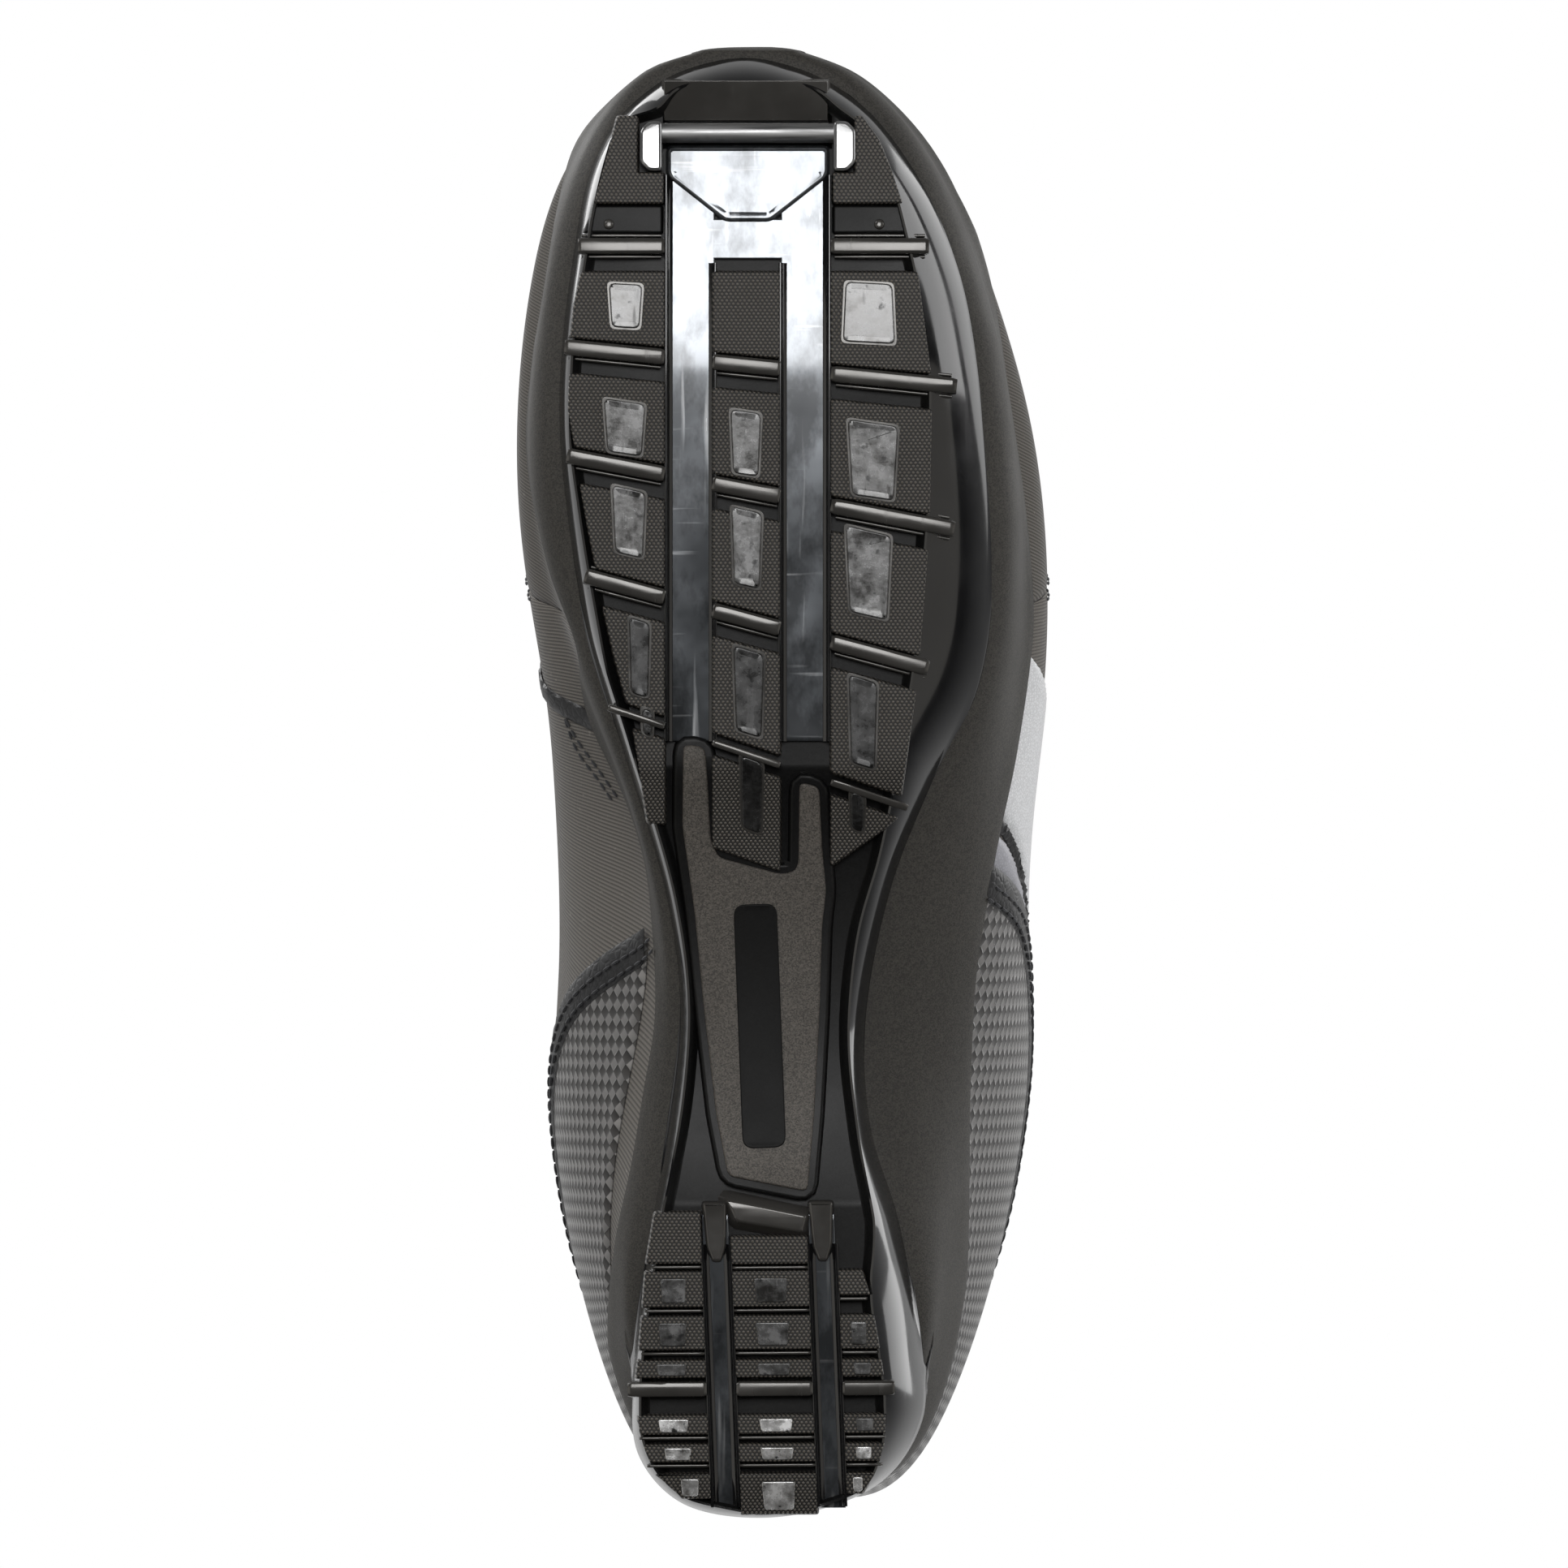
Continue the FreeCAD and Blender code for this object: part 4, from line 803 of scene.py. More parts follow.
def pearly_weave(name):
    """Heel panels: a film of flat tapes woven on the slant, with painted shade along each tape, lighter at
    one end.
    """
    s = Shade(name)
    u, v = s.plane()
    diamond_wide, diamond_high = 2.4, 3.0
    cell_u = s.math("DIVIDE", s.math("MULTIPLY_ADD", v, 0.08, u), diamond_wide)
    cell_v = s.math("DIVIDE", v, diamond_high)
    a = s.math("ADD", cell_u, cell_v)
    b = s.math("SUBTRACT", cell_u, cell_v)
    part_a, part_b = s.math("FRACT", a), s.math("FRACT", b)
    whole = s.math("ADD", s.math("FLOOR", a), s.math("FLOOR", b))
    # the diamonds alternate, and the tiny shift keeps whole numbers clear of rounding
    odd = s.math("GREATER_THAN", s.math("FRACT", s.math("MULTIPLY_ADD", whole, 0.5, 0.0005)), 0.25)

    def hump(part):
        """0 at both ends of a tape's width and 1 in its middle."""
        return s.math("MULTIPLY", s.math("MULTIPLY", part, s.math("SUBTRACT", 1.0, part)), 4.0)

    edge_a, edge_b = hump(part_a), hump(part_b)
    # painted shade: each tape runs from a lighter to a darker end, as if shaded over its curve
    light = s.mix(s.span(part_b, 0.0, 1.0), (0.16, 0.156, 0.152), (0.28, 0.273, 0.268))
    dark = s.mix(s.span(part_a, 0.0, 1.0), (0.035, 0.033, 0.032), (0.07, 0.067, 0.065))
    base = s.mix(odd, light, dark)
    crack = s.math("MINIMUM", edge_a, edge_b)
    base = s.mix(s.span(crack, 0.0, 0.18), (0.04, 0.039, 0.038), base)
    dome = s.math("POWER", s.math("MULTIPLY", edge_a, edge_b), 0.4)
    tilt = s.math("ADD", dome, s.math("MULTIPLY", odd, 0.25))
    s.bump(tilt, 0.22, 0.8)
    s.bump(s.noise(500, 2), 0.02, 0.5)
    rough = s.mix(odd, (0.3, 0.3, 0.3), (0.42, 0.42, 0.42))
    return s.set(Base_Color=base, Roughness=rough, Metallic=0.25, Coat_Weight=0.12, Coat_Roughness=0.35)


def grained(name, colour, roughness, grain, depth):
    """Coated synthetic with a pebbled grain."""
    s = Shade(name)
    place = s.node("ShaderNodeTexCoord")
    cells = s.node("ShaderNodeTexVoronoi", feature="DISTANCE_TO_EDGE")
    s.put(cells.inputs["Vector"], place.outputs["Object"])
    cells.inputs["Scale"].default_value = grain
    pebble = s.span(cells.outputs["Distance"], 0.0, 0.25)
    slow = s.noise(40, 4)
    base = s.mix(pebble, scaled(colour, 0.75), colour)
    base = s.mix(s.span(slow, 0.4, 0.75, 0.0, 0.2), base, scaled(colour, 0.8))
    s.bump(pebble, depth, 0.6)
    s.bump(slow, 0.3, 0.15)
    return s.set(Base_Color=base, Roughness=s.span(slow, 0.3, 0.7, roughness * 0.85, roughness * 1.15))


def brushed(name, colour, roughness, stretch):
    """Bare or coated metal with drawn lines and a few nicks."""
    s = Shade(name)
    lines = s.noise(900, 3, stretch)
    nicks = s.noise(260, 4)
    base = s.mix(s.span(nicks, 0.55, 0.75, 0.0, 0.6), colour, scaled(colour, 0.5))
    s.bump(lines, 0.02, 0.6)
    s.bump(nicks, 0.03, 0.4)
    rough = s.span(lines, 0.3, 0.7, roughness * 0.7, roughness * 1.4)
    return s.set(Base_Color=base, Metallic=1.0, Roughness=rough)


M_BODY = gloss_black("sole_gloss", (0.006, 0.006, 0.0065), 0.1, 0.4, 0.2)
M_GROOVE = gloss_black("groove_gloss", (0.11, 0.118, 0.128), 0.1, 1.0, 0.4, 0.55, 0.75)
# painted highlight: a pale metallic copy of the sole's black gloss, for the bright bosses by the bar's ends
M_BOSS_PAINTED_HIGHLIGHT = gloss_black("boss_gloss_painted_highlight", (0.2, 0.2, 0.2), 0.12, 0.6, 0.4, 0.55)
M_RIB = gloss_black("rib_gloss", (0.06, 0.057, 0.053), 0.17, 0.8, 0.0, 0.35)
M_DEEP = speckled("sole_floor", (0.006, 0.006, 0.006), 0.3, 0.42, gloss=0.22)
M_WEAVE = tread_weave("tread_weave")
M_INSERT = smooth_insert("tread_insert", 0.5, 0.5)
# a much paler copy of the islands, for the heel's last rows
M_INSERT_PALE = smooth_insert("tread_insert_pale", 0.55, 2.9)
# painted shade: a near-black copy of the islands for the rows further back from the toe
M_INSERT_PAINTED_SHADE = smooth_insert("tread_insert_painted_shade", 0.3, 0.14)
M_SHANK = speckled("shank_grey", (0.085, 0.076, 0.066), 0.6, 0.62, 4200)
M_BADGE = speckled("badge_satin", (0.005, 0.005, 0.005), 0.2, 0.5, gloss=0.15)
M_RAND = speckled("rand_coating", (0.034, 0.031, 0.026), 0.6, 0.58, 4200)
M_SHELL = ribbed_cloth("softshell_ribs", (0.17, 0.157, 0.14), 0.68, 0.12)
M_VAMP = ribbed_cloth("softshell_fine", (0.15, 0.139, 0.125), 0.66, 0.1, 22.0, 0.5)
M_PANEL = pearly_weave("heel_weave")
M_OVERLAY = grained("overlay_black", (0.02, 0.02, 0.021), 0.42, 620, 0.1)
M_WHITE = grained("white_film", (0.82, 0.83, 0.85), 0.42, 1500, 0.02)
M_SILVER = grained("silver_film", (0.4, 0.4, 0.44), 0.36, 1500, 0.02)
M_COVER = ribbed_cloth("cover_softshell", (0.05, 0.05, 0.052), 0.9, 0.1, 90.0, 0.5)
M_KNIT = knit("lining_knit", (0.1, 0.1, 0.104))
M_COLLAR = knit("collar_knit", (0.05, 0.05, 0.052))
M_WEBBING = woven_cloth("webbing", (0.045, 0.045, 0.048), 0.9, 0.2, 45.0)
M_STRAP = woven_cloth("strap_webbing", (0.05, 0.05, 0.053), 1.3, 0.28, 0.0)
M_HOOK = woven_cloth("hook_tape", (0.03, 0.03, 0.031), 1.6, 0.5, 0.0, 0.1)
M_THREAD = woven_cloth("thread", (0.07, 0.07, 0.074), 0.5, 0.1, 45.0)
M_STEEL = brushed("bar_steel", (0.42, 0.42, 0.42), 0.46, (0.05, 1.0, 1.0))
M_METAL = brushed("dark_metal", (0.09, 0.09, 0.095), 0.34, (1.0, 0.08, 1.0))
M_ZIP = grained("zip_plastic", (0.03, 0.03, 0.031), 0.35, 1800, 0.02)
# painted shadow: the boards are near black so that the lasting board, where it shows between sole and rand,
# reads as shade
M_BOARD_PAINTED_SHADOW = grained("fibre_board", (0.02, 0.019, 0.018), 0.8, 900, 0.1)
M_FOAM = grained("footbed_foam", (0.16, 0.16, 0.17), 0.85, 1400, 0.1)


# ---------------------------------------------------------------------------------------------
# The sole
# ---------------------------------------------------------------------------------------------

# Height of the joint between the sole and the upper, as (y, z) along the boot
SOLE_TOP = [(-156, 20.5), (-120, 14.5), (-80, 12), (-30, 12.5), (30, 16.5), (80, 20), (154, 21)]
# The sole's outline as (x, y), from the toe round the lateral side, then back up the medial side
SOLE_LATERAL = [
    (-7, -148), (13, -141), (27, -125), (36.5, -103), (41.2, -72), (42.4, -44), (39.4, -21), (30.5, -1),
    (22, 21), (16.8, 48), (17.9, 69), (23.6, 88), (28, 114), (28.5, 128), (20, 141), (0, 148),
]
SOLE_MEDIAL = [
    (-20, 145.5), (-29, 136), (-30.5, 123), (-27, 92), (-23.1, 69), (-20.7, 46), (-23.4, 23), (-32.4, -8),
    (-39.4, -31), (-43.8, -57), (-45.2, -77), (-43, -104), (-37.3, -129), (-26, -142.5),
]
OUTLINE = smooth_curve(SOLE_LATERAL + SOLE_MEDIAL, True, 16)

# The tread's own edges as (y, x), without the ends of the cross ribs, which reach further
MEDIAL_EDGE = [
    (-136, -33.3), (-117.5, -38.2), (-90, -42.6), (-69, -43.2), (-46, -39.8), (-22, -35.4),
    (5, -28.2), (13, -26),
]
LATERAL_EDGE = [
    (-136, 15.8), (-124, 22), (-104, 27), (-84, 30.2), (-56, 29.6), (-28, 27.1), (0, 22.9), (20, 18.5),
]
ROW_COUNT = 5
# Half the width of a cross rib, and how far behind it the next pad starts
RIB_HALF = 1.6
VALLEY = 3.6
# Where each cross rib ends at the medial and at the lateral side
RIB_ENDS = [(-41.2, 29.5), (-43.9, 35.1), (-43.4, 34.6), (-39.8, 29.4), (-35.1, 25.2)]
# Where the last pad of each strip ends, at its medial and at its lateral side
FOREFOOT_END = {"medial": (7.2, 7.6), "centre": (12.2, 17.0), "lateral": (16.0, 8.5)}
GROOVE_LEFT = (AXIS_X - GROOVE_OUTER, AXIS_X - GROOVE_INNER)
GROOVE_RIGHT = (AXIS_X + GROOVE_INNER, AXIS_X + GROOVE_OUTER)
HEEL_AXIS_X, HEEL_LEAN, HEEL_PIVOT_Y = -2.0, math.radians(2.2), 110.0
HEEL_INNER, HEEL_OUTER = 8.0, 13.4
# How high the floor between the treads lies over the tread line, and the floor of the recess round the bar
FLOOR_H, RECESS_FLOOR_H = 4.0, 6.8
SHANK = [
    (-20.0, -8.6), (-15.6, -8), (-15, 0), (-14.5, 10.5), (-13, 14.2), (-0.3, 17.6), (2.4, 17), (3.2, 15.5),
    (3.4, -1), (7.4, 0), (8, 12), (8.8, 21), (8, 28), (7.5, 45.5), (6.4, 66), (5, 81.5), (-11, 78.4),
    (-13.4, 66), (-15.8, 45.5), (-17.8, 25), (-19.2, 15), (-20.2, 8),
]
TOE_PLATE = [(-23.1, -129.0), (9.1, -129.0), (9.1, -123.2), (-2.4, -114.1), (-11.6, -114.1), (-23.1, -123.2)]
RECESS_LEFT, RECESS_RIGHT, RECESS_FRONT, RECESS_BACK = BAR_LOW.x + 4, BAR_HIGH.x - 4, -142.2, -129.6
RECESS = [
    (RECESS_LEFT, RECESS_FRONT), (RECESS_RIGHT, RECESS_FRONT),
    (RECESS_RIGHT, RECESS_BACK), (RECESS_LEFT, RECESS_BACK),
]


def row_y(row):
    """Where a cross rib meets the sole's axis. The rows open out towards the heel."""
    return -109 + 23.6 * row + 0.5 * row**2


def row_slope(row):
    """Cross ribs lean further back on the lateral side, row by row."""
    return 0.1 * row * (1.06 - 0.055 * row)


def rib_line(row, x, shift=0.0):
    return row_y(row) + row_slope(row) * (x - AXIS_X) + shift


def heel_point(x, y):
    """A point given along the heel's own axis, which leans outwards from the sole's."""
    return (
        HEEL_AXIS_X + x * math.cos(HEEL_LEAN) + (y - HEEL_PIVOT_Y) * math.sin(HEEL_LEAN),
        y - x * math.sin(HEEL_LEAN) * 0.2,
    )


class Relief:
    """Blocks standing out of the sole, built flat with h above the tread line for z, then bent to it."""

    def __init__(self):
        self.bm = bmesh.new()

    def ring(self, points, h):
        return [self.bm.verts.new((x, y, h)) for x, y in points]

    def skin(self, rings, slot):
        for a, b in zip(rings[:-1], rings[1:]):
            for i in range(len(a)):
                j = (i + 1) % len(a)
                self.bm.faces.new((a[i], a[j], b[j], b[i])).material_index = slot

    def block(self, outline, face_h, root_h, bevel, slot=0, draft=0.15, corner=0.0, dish=0.0):
        """A bevelled block from face to root. draft spreads the root, and dish hollows the face."""
        if signed_area(outline) < 0:
            outline = outline[::-1]
        if corner:
            outline = round_corners(outline, corner, 3)
        loops = [self.ring(grown(outline, draft * (root_h - face_h)), root_h)]
        for degrees in (0, 30, 60, 90):
            c, s = math.cos(math.radians(degrees)), math.sin(math.radians(degrees))
            loops.append(self.ring(grown(outline, -bevel * (1 - c)), face_h + bevel * (1 - s)))
        self.skin(loops, slot)
        if dish:
            inner = self.ring(grown(outline, -bevel - 1.0), face_h + dish)
            self.skin([loops[-1], inner], slot)
            loops.append(inner)
        self.bm.faces.new(loops[-1]).material_index = slot
        self.bm.faces.new(loops[0][::-1]).material_index = slot

    def bar(self, centre_line, half_width, face_h, root_h, slot=0, round_h=0.45):
        """A rib along a line of (x, y) points: a gently rounded face, then steep sides down to its root."""
        # each point: its share of the half width, and its height
        profile = [
            (1.12, root_h), (1.0, face_h + round_h + 0.5), (0.97, face_h + round_h),
            (0.86, face_h + round_h * 0.4), (0.6, face_h + round_h * 0.12), (0.2, face_h),
        ]
        profile += [(-share, h) for share, h in profile[::-1]]
        end_width, end_lift = 0.86, 0.4
        line = [Vector((x, y)) for x, y in centre_line]
        loops = []
        for i, p in enumerate(line):
            along = (line[min(i + 1, len(line) - 1)] - line[max(i - 1, 0)]).normalized()
            side = Vector((-along.y, along.x))
            end = i in (0, len(line) - 1)
            ring = []
            for share, h in profile:
                q = p + side * (half_width * share * (end_width if end else 1.0))
                ring.append(self.bm.verts.new((q.x, q.y, min(h + (end_lift if end else 0.0), root_h))))
            loops.append(ring)
        self.skin(loops, slot)
        self.bm.faces.new(loops[0][::-1]).material_index = slot
        self.bm.faces.new(loops[-1]).material_index = slot

    def object(self, name, materials, step):
        """Cuts the blocks across every few millimetres, bends them to the tread line and makes the object."""
        bm = self.bm
        ys = [v.co.y for v in bm.verts]
        y = math.floor(min(ys) / step) * step
        while y < max(ys):
            everything = bm.verts[:] + bm.edges[:] + bm.faces[:]
            bmesh.ops.bisect_plane(bm, geom=everything, plane_co=(0, y, 0), plane_no=(0, 1, 0), dist=1e-4)
            y += step
        bmesh.ops.recalc_face_normals(bm, faces=bm.faces)
        for v in bm.verts:
            v.co.z += float(ground(v.co.y))
        mesh = bpy.data.meshes.new(name)
        bm.to_mesh(mesh)
        bm.free()
        for material in materials:
            mesh.materials.append(material)
        layer = mesh.uv_layers.new(name="surface")
        plan = np.empty(len(mesh.vertices) * 3, dtype=np.float32)
        mesh.vertices.foreach_get("co", plan)
        corner = np.empty(len(mesh.loops), dtype=np.int32)
        mesh.loops.foreach_get("vertex_index", corner)
        plan = plan.reshape(-1, 3)[corner]
        # the height shifts the pattern a little, so that it doesn't stretch down the sides of a block
        layer.data.foreach_set("uv", (plan[:, :2] + plan[:, 2:] * 0.3).ravel())
        mesh.transform(Matrix.Scale(MM, 4))
        mesh.shade_smooth()
        mesh.set_sharp_from_angle(angle=math.radians(42.0))
        obj = bpy.data.objects.new(name, mesh)
        bpy.context.scene.collection.objects.link(obj)
        modifier = obj.modifiers.new("even shading", "WEIGHTED_NORMAL")
        modifier.keep_sharp = True
        return obj


def finish_piece(obj, body, slot, *nodes):
    """Ties a piece to its body and hides the CAD nodes that it stands for. slot is not used."""
    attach(obj, body)
    if nodes:
        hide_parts(*nodes)
    return obj


def forefoot_limits(strip, y_middle):
    """Left and right edge of a strip of forefoot tread, near a given y."""
    gap = 0.35
    if strip == "medial":
        return float(polyline(MEDIAL_EDGE, y_middle)), GROOVE_LEFT[0] - gap
    if strip == "centre":
        return GROOVE_LEFT[1] - 0.5, GROOVE_RIGHT[0] - 0.1
    return GROOVE_RIGHT[1] + gap, float(polyline(LATERAL_EDGE, y_middle))


def pad_outline(strip, row, start, end):
    """A pad between two cross ribs. Its sides follow the strip and its ends follow the ribs."""
    corners = []
    for side in (0, 1):
        last_y = row_y(row + 1) + end if row + 1 < ROW_COUNT else FOREFOOT_END[strip][side]
        first_y = row_y(row) + start
        ys = (first_y, (first_y + last_y) / 2, last_y)
        front_x, middle_x, back_x = (forefoot_limits(strip, y + 1.5)[side] for y in ys)
        back_y = rib_line(row + 1, back_x, end) if row + 1 < ROW_COUNT else last_y
        front_y = rib_line(row, front_x, start)
        corners.append([(front_x, front_y), (middle_x, (front_y + back_y) / 2), (back_x, back_y)])
    return corners[0] + corners[1][::-1]


# Smooth islands in the pads, per strip and row: middle x, half its width, start and end y.
ISLANDS = {
    "medial": [
        (-31.6, 3.4, -101.3, -92.4), (-31.8, 4.2, -77.6, -67), (-30.9, 3.4, -60, -46.6),
        (-28.8, 2.1, -33.6, -18.4), (-27.2, 1.1, -15.6, -10.4),
    ],
    "centre": [
        None, (-7.4, 3.1, -75.6, -62.8), (-7.2, 3.1, -55.8, -40.4),
        (-6.8, 3.1, -27.6, -10.6), (-6.2, 2.2, -5.6, 8.8),
    ],
    "lateral": [
        (17.4, 4.7, -101.5, -89.4), (18.2, 5.1, -73.3, -58.2), (17.3, 4.6, -51.6, -34.4),
        (16.2, 2.9, -21.8, -4.2), (15.1, 1.4, 1.4, 8.8),
    ],
}
# The front end of an outer strip: its first plate, the lower step behind that, and the round pip's middle
FRONT_END = {
    "medial": {
        "plate": [
            (-33.3, -135.4), (-29.2, -135.4), (-29.2, -123.8),
            (-24.0, -123.8), (-24.0, -117.6), (-38.0, -117.6),
        ],
        "step": [(-38.2, -117.2), (-24.2, -117.2), (-24.2, -111.6), (-40.2, -111.6)],
        "pip": (-35.0, -113.4),
    },
    "lateral": {
        "plate": [
            (14.6, -135.4), (16.0, -135.4), (19.5, -130.5), (22.0, -124.4), (24.2, -117.6), (10.2, -117.6),
            (10.2, -123.8), (14.6, -123.8),
        ],
        "step": [(10.2, -117.2), (24.4, -117.2), (26.2, -111.6), (10.2, -111.6)],
        "pip": (19.5, -113.4),
    },
}
# The materials of a tread strip, by slot
TREAD_LOOKS = [M_WEAVE, M_INSERT, M_RIB, M_INSERT_PALE, M_INSERT_PAINTED_SHADE, M_DEEP]
WEAVE, INSERT, RIB, PALE_INSERT, SHADED_INSERT, DEEP = range(6)


def island_outline(strip, row):
    """A rounded island that narrows towards the heel and leans with the rows."""
    x, half, start, end = ISLANDS[strip][row]
    slope = row_slope(row + 0.5)
    tip = half * (1.12 if (strip, row) == ("lateral", 0) else 0.82)
    return [
        (x - half, start - slope * half), (x + half, start + slope * half),
        (x + tip, end + slope * tip), (x - tip, end - slope * tip),
    ]


def forefoot_tread(strip):
    """One strip of forefoot tread: woven pads with smooth islands, between glossy cross ribs."""
    relief = Relief()
    pad_h, root = 0.75, 4.2
    for row in range(ROW_COUNT):
        last_row = row == ROW_COUNT - 1
        end = -RIB_HALF - 0.35
        start = RIB_HALF + (1.0 if last_row else VALLEY)
        relief.block(pad_outline(strip, row, start, end), pad_h, root, 0.45, WEAVE, 0.1, 0.6)
        if ISLANDS[strip][row]:
            outline = island_outline(strip, row)
            relief.block(grown(outline, 0.45), pad_h - 0.08, pad_h + 0.5, 0.1, RIB, 0.0, 1.2)
            # islands past the third row take the near-black copy, painted shade on the islands further back
            look = SHADED_INSERT if row > 2 else INSERT
            relief.block(outline, pad_h - 0.42, pad_h + 0.5, 0.3, look, 0.1, 1.2, 0.08)
        if strip == "centre" and row == 0:
            continue
        left, right = forefoot_limits(strip, row_y(row))
        if strip == "medial":
            left = RIB_ENDS[row][0]
        if strip == "lateral":
            right = RIB_ENDS[row][1]
        half = 0.75 if last_row else RIB_HALF
        xs = [left + (right - left) * t for t in (0.0, 0.04, 0.3, 0.6, 0.96, 1.0)]
        relief.bar([(x, rib_line(row, x)) for x in xs], half, 0.0, root, RIB)
        # a thin low line runs along both sides of every rib but the last
        for side in () if last_row else (-1, 1):
            shift = side * (half + 0.55)
            relief.bar([(x, rib_line(row, x, shift)) for x in xs[1:-1]], 0.35, 1.7, root, RIB, 0.3)
    if strip in FRONT_END:
        front = FRONT_END[strip]
        relief.block(front["plate"], pad_h, root, 0.4, WEAVE, 0.1, 0.5)
        relief.block(front["step"], 1.7, root, 0.5, DEEP, 0.1, 0.6)
        pip_x, pip_y = front["pip"]
        turns = [a * math.pi / 6 for a in range(12)]
        relief.block([(pip_x + math.cos(a), pip_y + math.sin(a)) for a in turns], 0.9, 2.0, 0.5, RIB)
    return relief


# Heel rows as (start, end), the same on the three strips but for the first one.
HEEL_ROWS = [(97.4, 104.6), (106.4, 113.2), (115.3, 118.8), (126.4, 130.2), (132.2, 135.8), (138.2, 146.5)]
HEEL_LAST_END = {"medial": 143.2, "centre": 146.5, "lateral": 142.4}
HEEL_RIB = (119.6, 122.6)
HEEL_FIRST = {"medial": (85.5, 95.8), "centre": (90.5, 96.0), "lateral": (97.4, 102.4)}
HEEL_MEDIAL_EDGE = [
    (85, -22.7), (96, -25), (113, -27), (121, -28.2), (131, -27.4), (138, -24.8), (143.5, -19),
]
HEEL_LATERAL_EDGE = [(97, 18.4), (101, 19.8), (112, 21.4), (122, 22.4), (132, 21.8), (138, 19.8), (143, 16.5)]


def heel_limits(strip, y):
    gap = 0.3
    if strip == "medial":
        return float(polyline(HEEL_MEDIAL_EDGE, y)), -HEEL_OUTER - gap
    if strip == "centre":
        return -HEEL_INNER + gap, HEEL_INNER - gap
    return HEEL_OUTER + gap, float(polyline(HEEL_LATERAL_EDGE, y))


def heel_outline(strip, start, end):
    left0, right0 = heel_limits(strip, start)
    left1, right1 = heel_limits(strip, end)
    return [heel_point(x, y) for x, y in ((left0, start), (right0, start), (right1, end), (left1, end))]


def heel_bar_line(left, right, y):
    """Points across a heel strip. They lie closer together at its ends."""
    return [heel_point(left + (right - left) * t, y) for t in (0, 0.05, 0.5, 0.95, 1)]


def heel_tread(strip):
    """One strip of heel tread: short woven pads with islands, thin ridges between them and one cross rib."""
    relief = Relief()
    pad_h, root = 0.6, 3.6
    rows = [HEEL_FIRST[strip]] + HEEL_ROWS
    if strip == "lateral":
        rows.pop(1)
    for index, (start, end) in enumerate(rows):
        end = min(end, HEEL_LAST_END[strip])
        relief.block(heel_outline(strip, start, end), pad_h, root, 0.35, WEAVE, 0.1, 0.4)
        left, right = heel_limits(strip, (start + end) / 2)
        if end - start > 3.2 and index:
            third = (right - left) * 0.28
            long = (end - start) * 0.2
            island = [
                heel_point(left + third, start + long), heel_point(right - third, start + long),
                heel_point(right - third * 1.1, end - long * 0.6),
                heel_point(left + third * 1.1, end - long * 0.6),
            ]
            look = PALE_INSERT if index > 3 else INSERT
            relief.block(island, pad_h - 0.35, pad_h + 0.4, 0.2, look, 0.1, 0.5)
        ridge = end + 0.75
        if index < len(rows) - 1 and abs(ridge - HEEL_RIB[0]) > 1 and ridge < 141:
            relief.bar(heel_bar_line(left, right, ridge), 0.34, 0.9, root, RIB, 0.3)
    left, right = heel_limits(strip, HEEL_RIB[0])
    if strip == "medial":
        left -= 1.6
    if strip == "lateral":
        right += 2.0
    relief.bar(heel_bar_line(left, right, sum(HEEL_RIB) / 2), 1.5, 0.0, root, RIB)
    return relief


def forefoot_polygon():
    medial = [(x, y) for y, x in MEDIAL_EDGE]
    lateral = [(x, y) for y, x in LATERAL_EDGE]
    return medial + lateral[::-1]


def heel_polygon():
    medial = [heel_point(x, y) for y, x in HEEL_MEDIAL_EDGE]
    lateral = [heel_point(x, y) for y, x in HEEL_LATERAL_EDGE]
    return medial + [heel_point(0, 147.6)] + lateral[::-1]


# The channel under the waist that the shank lies in
CHANNEL = [
    (-24, 2), (-22, 24), (-19.2, 44), (-20.6, 66), (-23.0, 84), (-16, 90), (12, 92), (19, 97),
    (15.6, 70), (13.6, 50), (16.5, 24), (20, 14), (12, 8), (-8, 6),
]


def tread_field(x, y):
    """Positive inside all that is let into the sole: treads, shank channel and the recess at the toe."""
    fields = [forefoot_polygon(), heel_polygon(), smooth_curve(CHANNEL, True, 6), RECESS]
    return np.maximum.reduce([polygon_distance(x, y, polygon) for polygon in fields])


def floor_height(x, y):
    """Height of the floor between the treads. It drops away in the recess round the bar."""
    recess = polygon_distance(x, y, RECESS)
    return FLOOR_H + (RECESS_FLOOR_H - FLOOR_H) * smoothstep((recess + 0.6) / 0.6)


def margin_width(outline, inwards):
    """How far in from the sole's outline its treads begin, smoothed along the outline."""
    steps = np.arange(0.4, 20.0, 0.1)
    narrowest, widest, where_no_tread = 1.6, 16.0, 8.0
    widths = []
    for p, n in zip(outline, inwards):
        field = tread_field(p[0] + n[0] * steps, p[1] + n[1] * steps)
        hits = np.nonzero(field > 0)[0]
        widths.append(steps[hits[0]] if len(hits) else where_no_tread)
    widths = np.array(widths)
    for _ in range(2):
        widths = np.mean([np.roll(widths, k) for k in range(-3, 4)], 0)
    return np.clip(widths, narrowest, widest)


def clip_grid(xs, ys, field):
    """Faces of a plan grid cut along the zero line of a field. Returns the points and the faces."""
    gx, gy = np.meshgrid(xs, ys, indexing="ij")
    points = np.stack([gx.ravel(), gy.ravel()], 1)
    value = field(points[:, 0], points[:, 1])
    value = np.where(np.abs(value) < 0.02, 0.02, value)
    corner = np.arange((len(xs) - 1) * len(ys)).reshape(-1, len(ys))[:, :-1].ravel()
    quads = np.column_stack([corner, corner + len(ys), corner + len(ys) + 1, corner + 1])
    return cut_faces(points, value, quads)


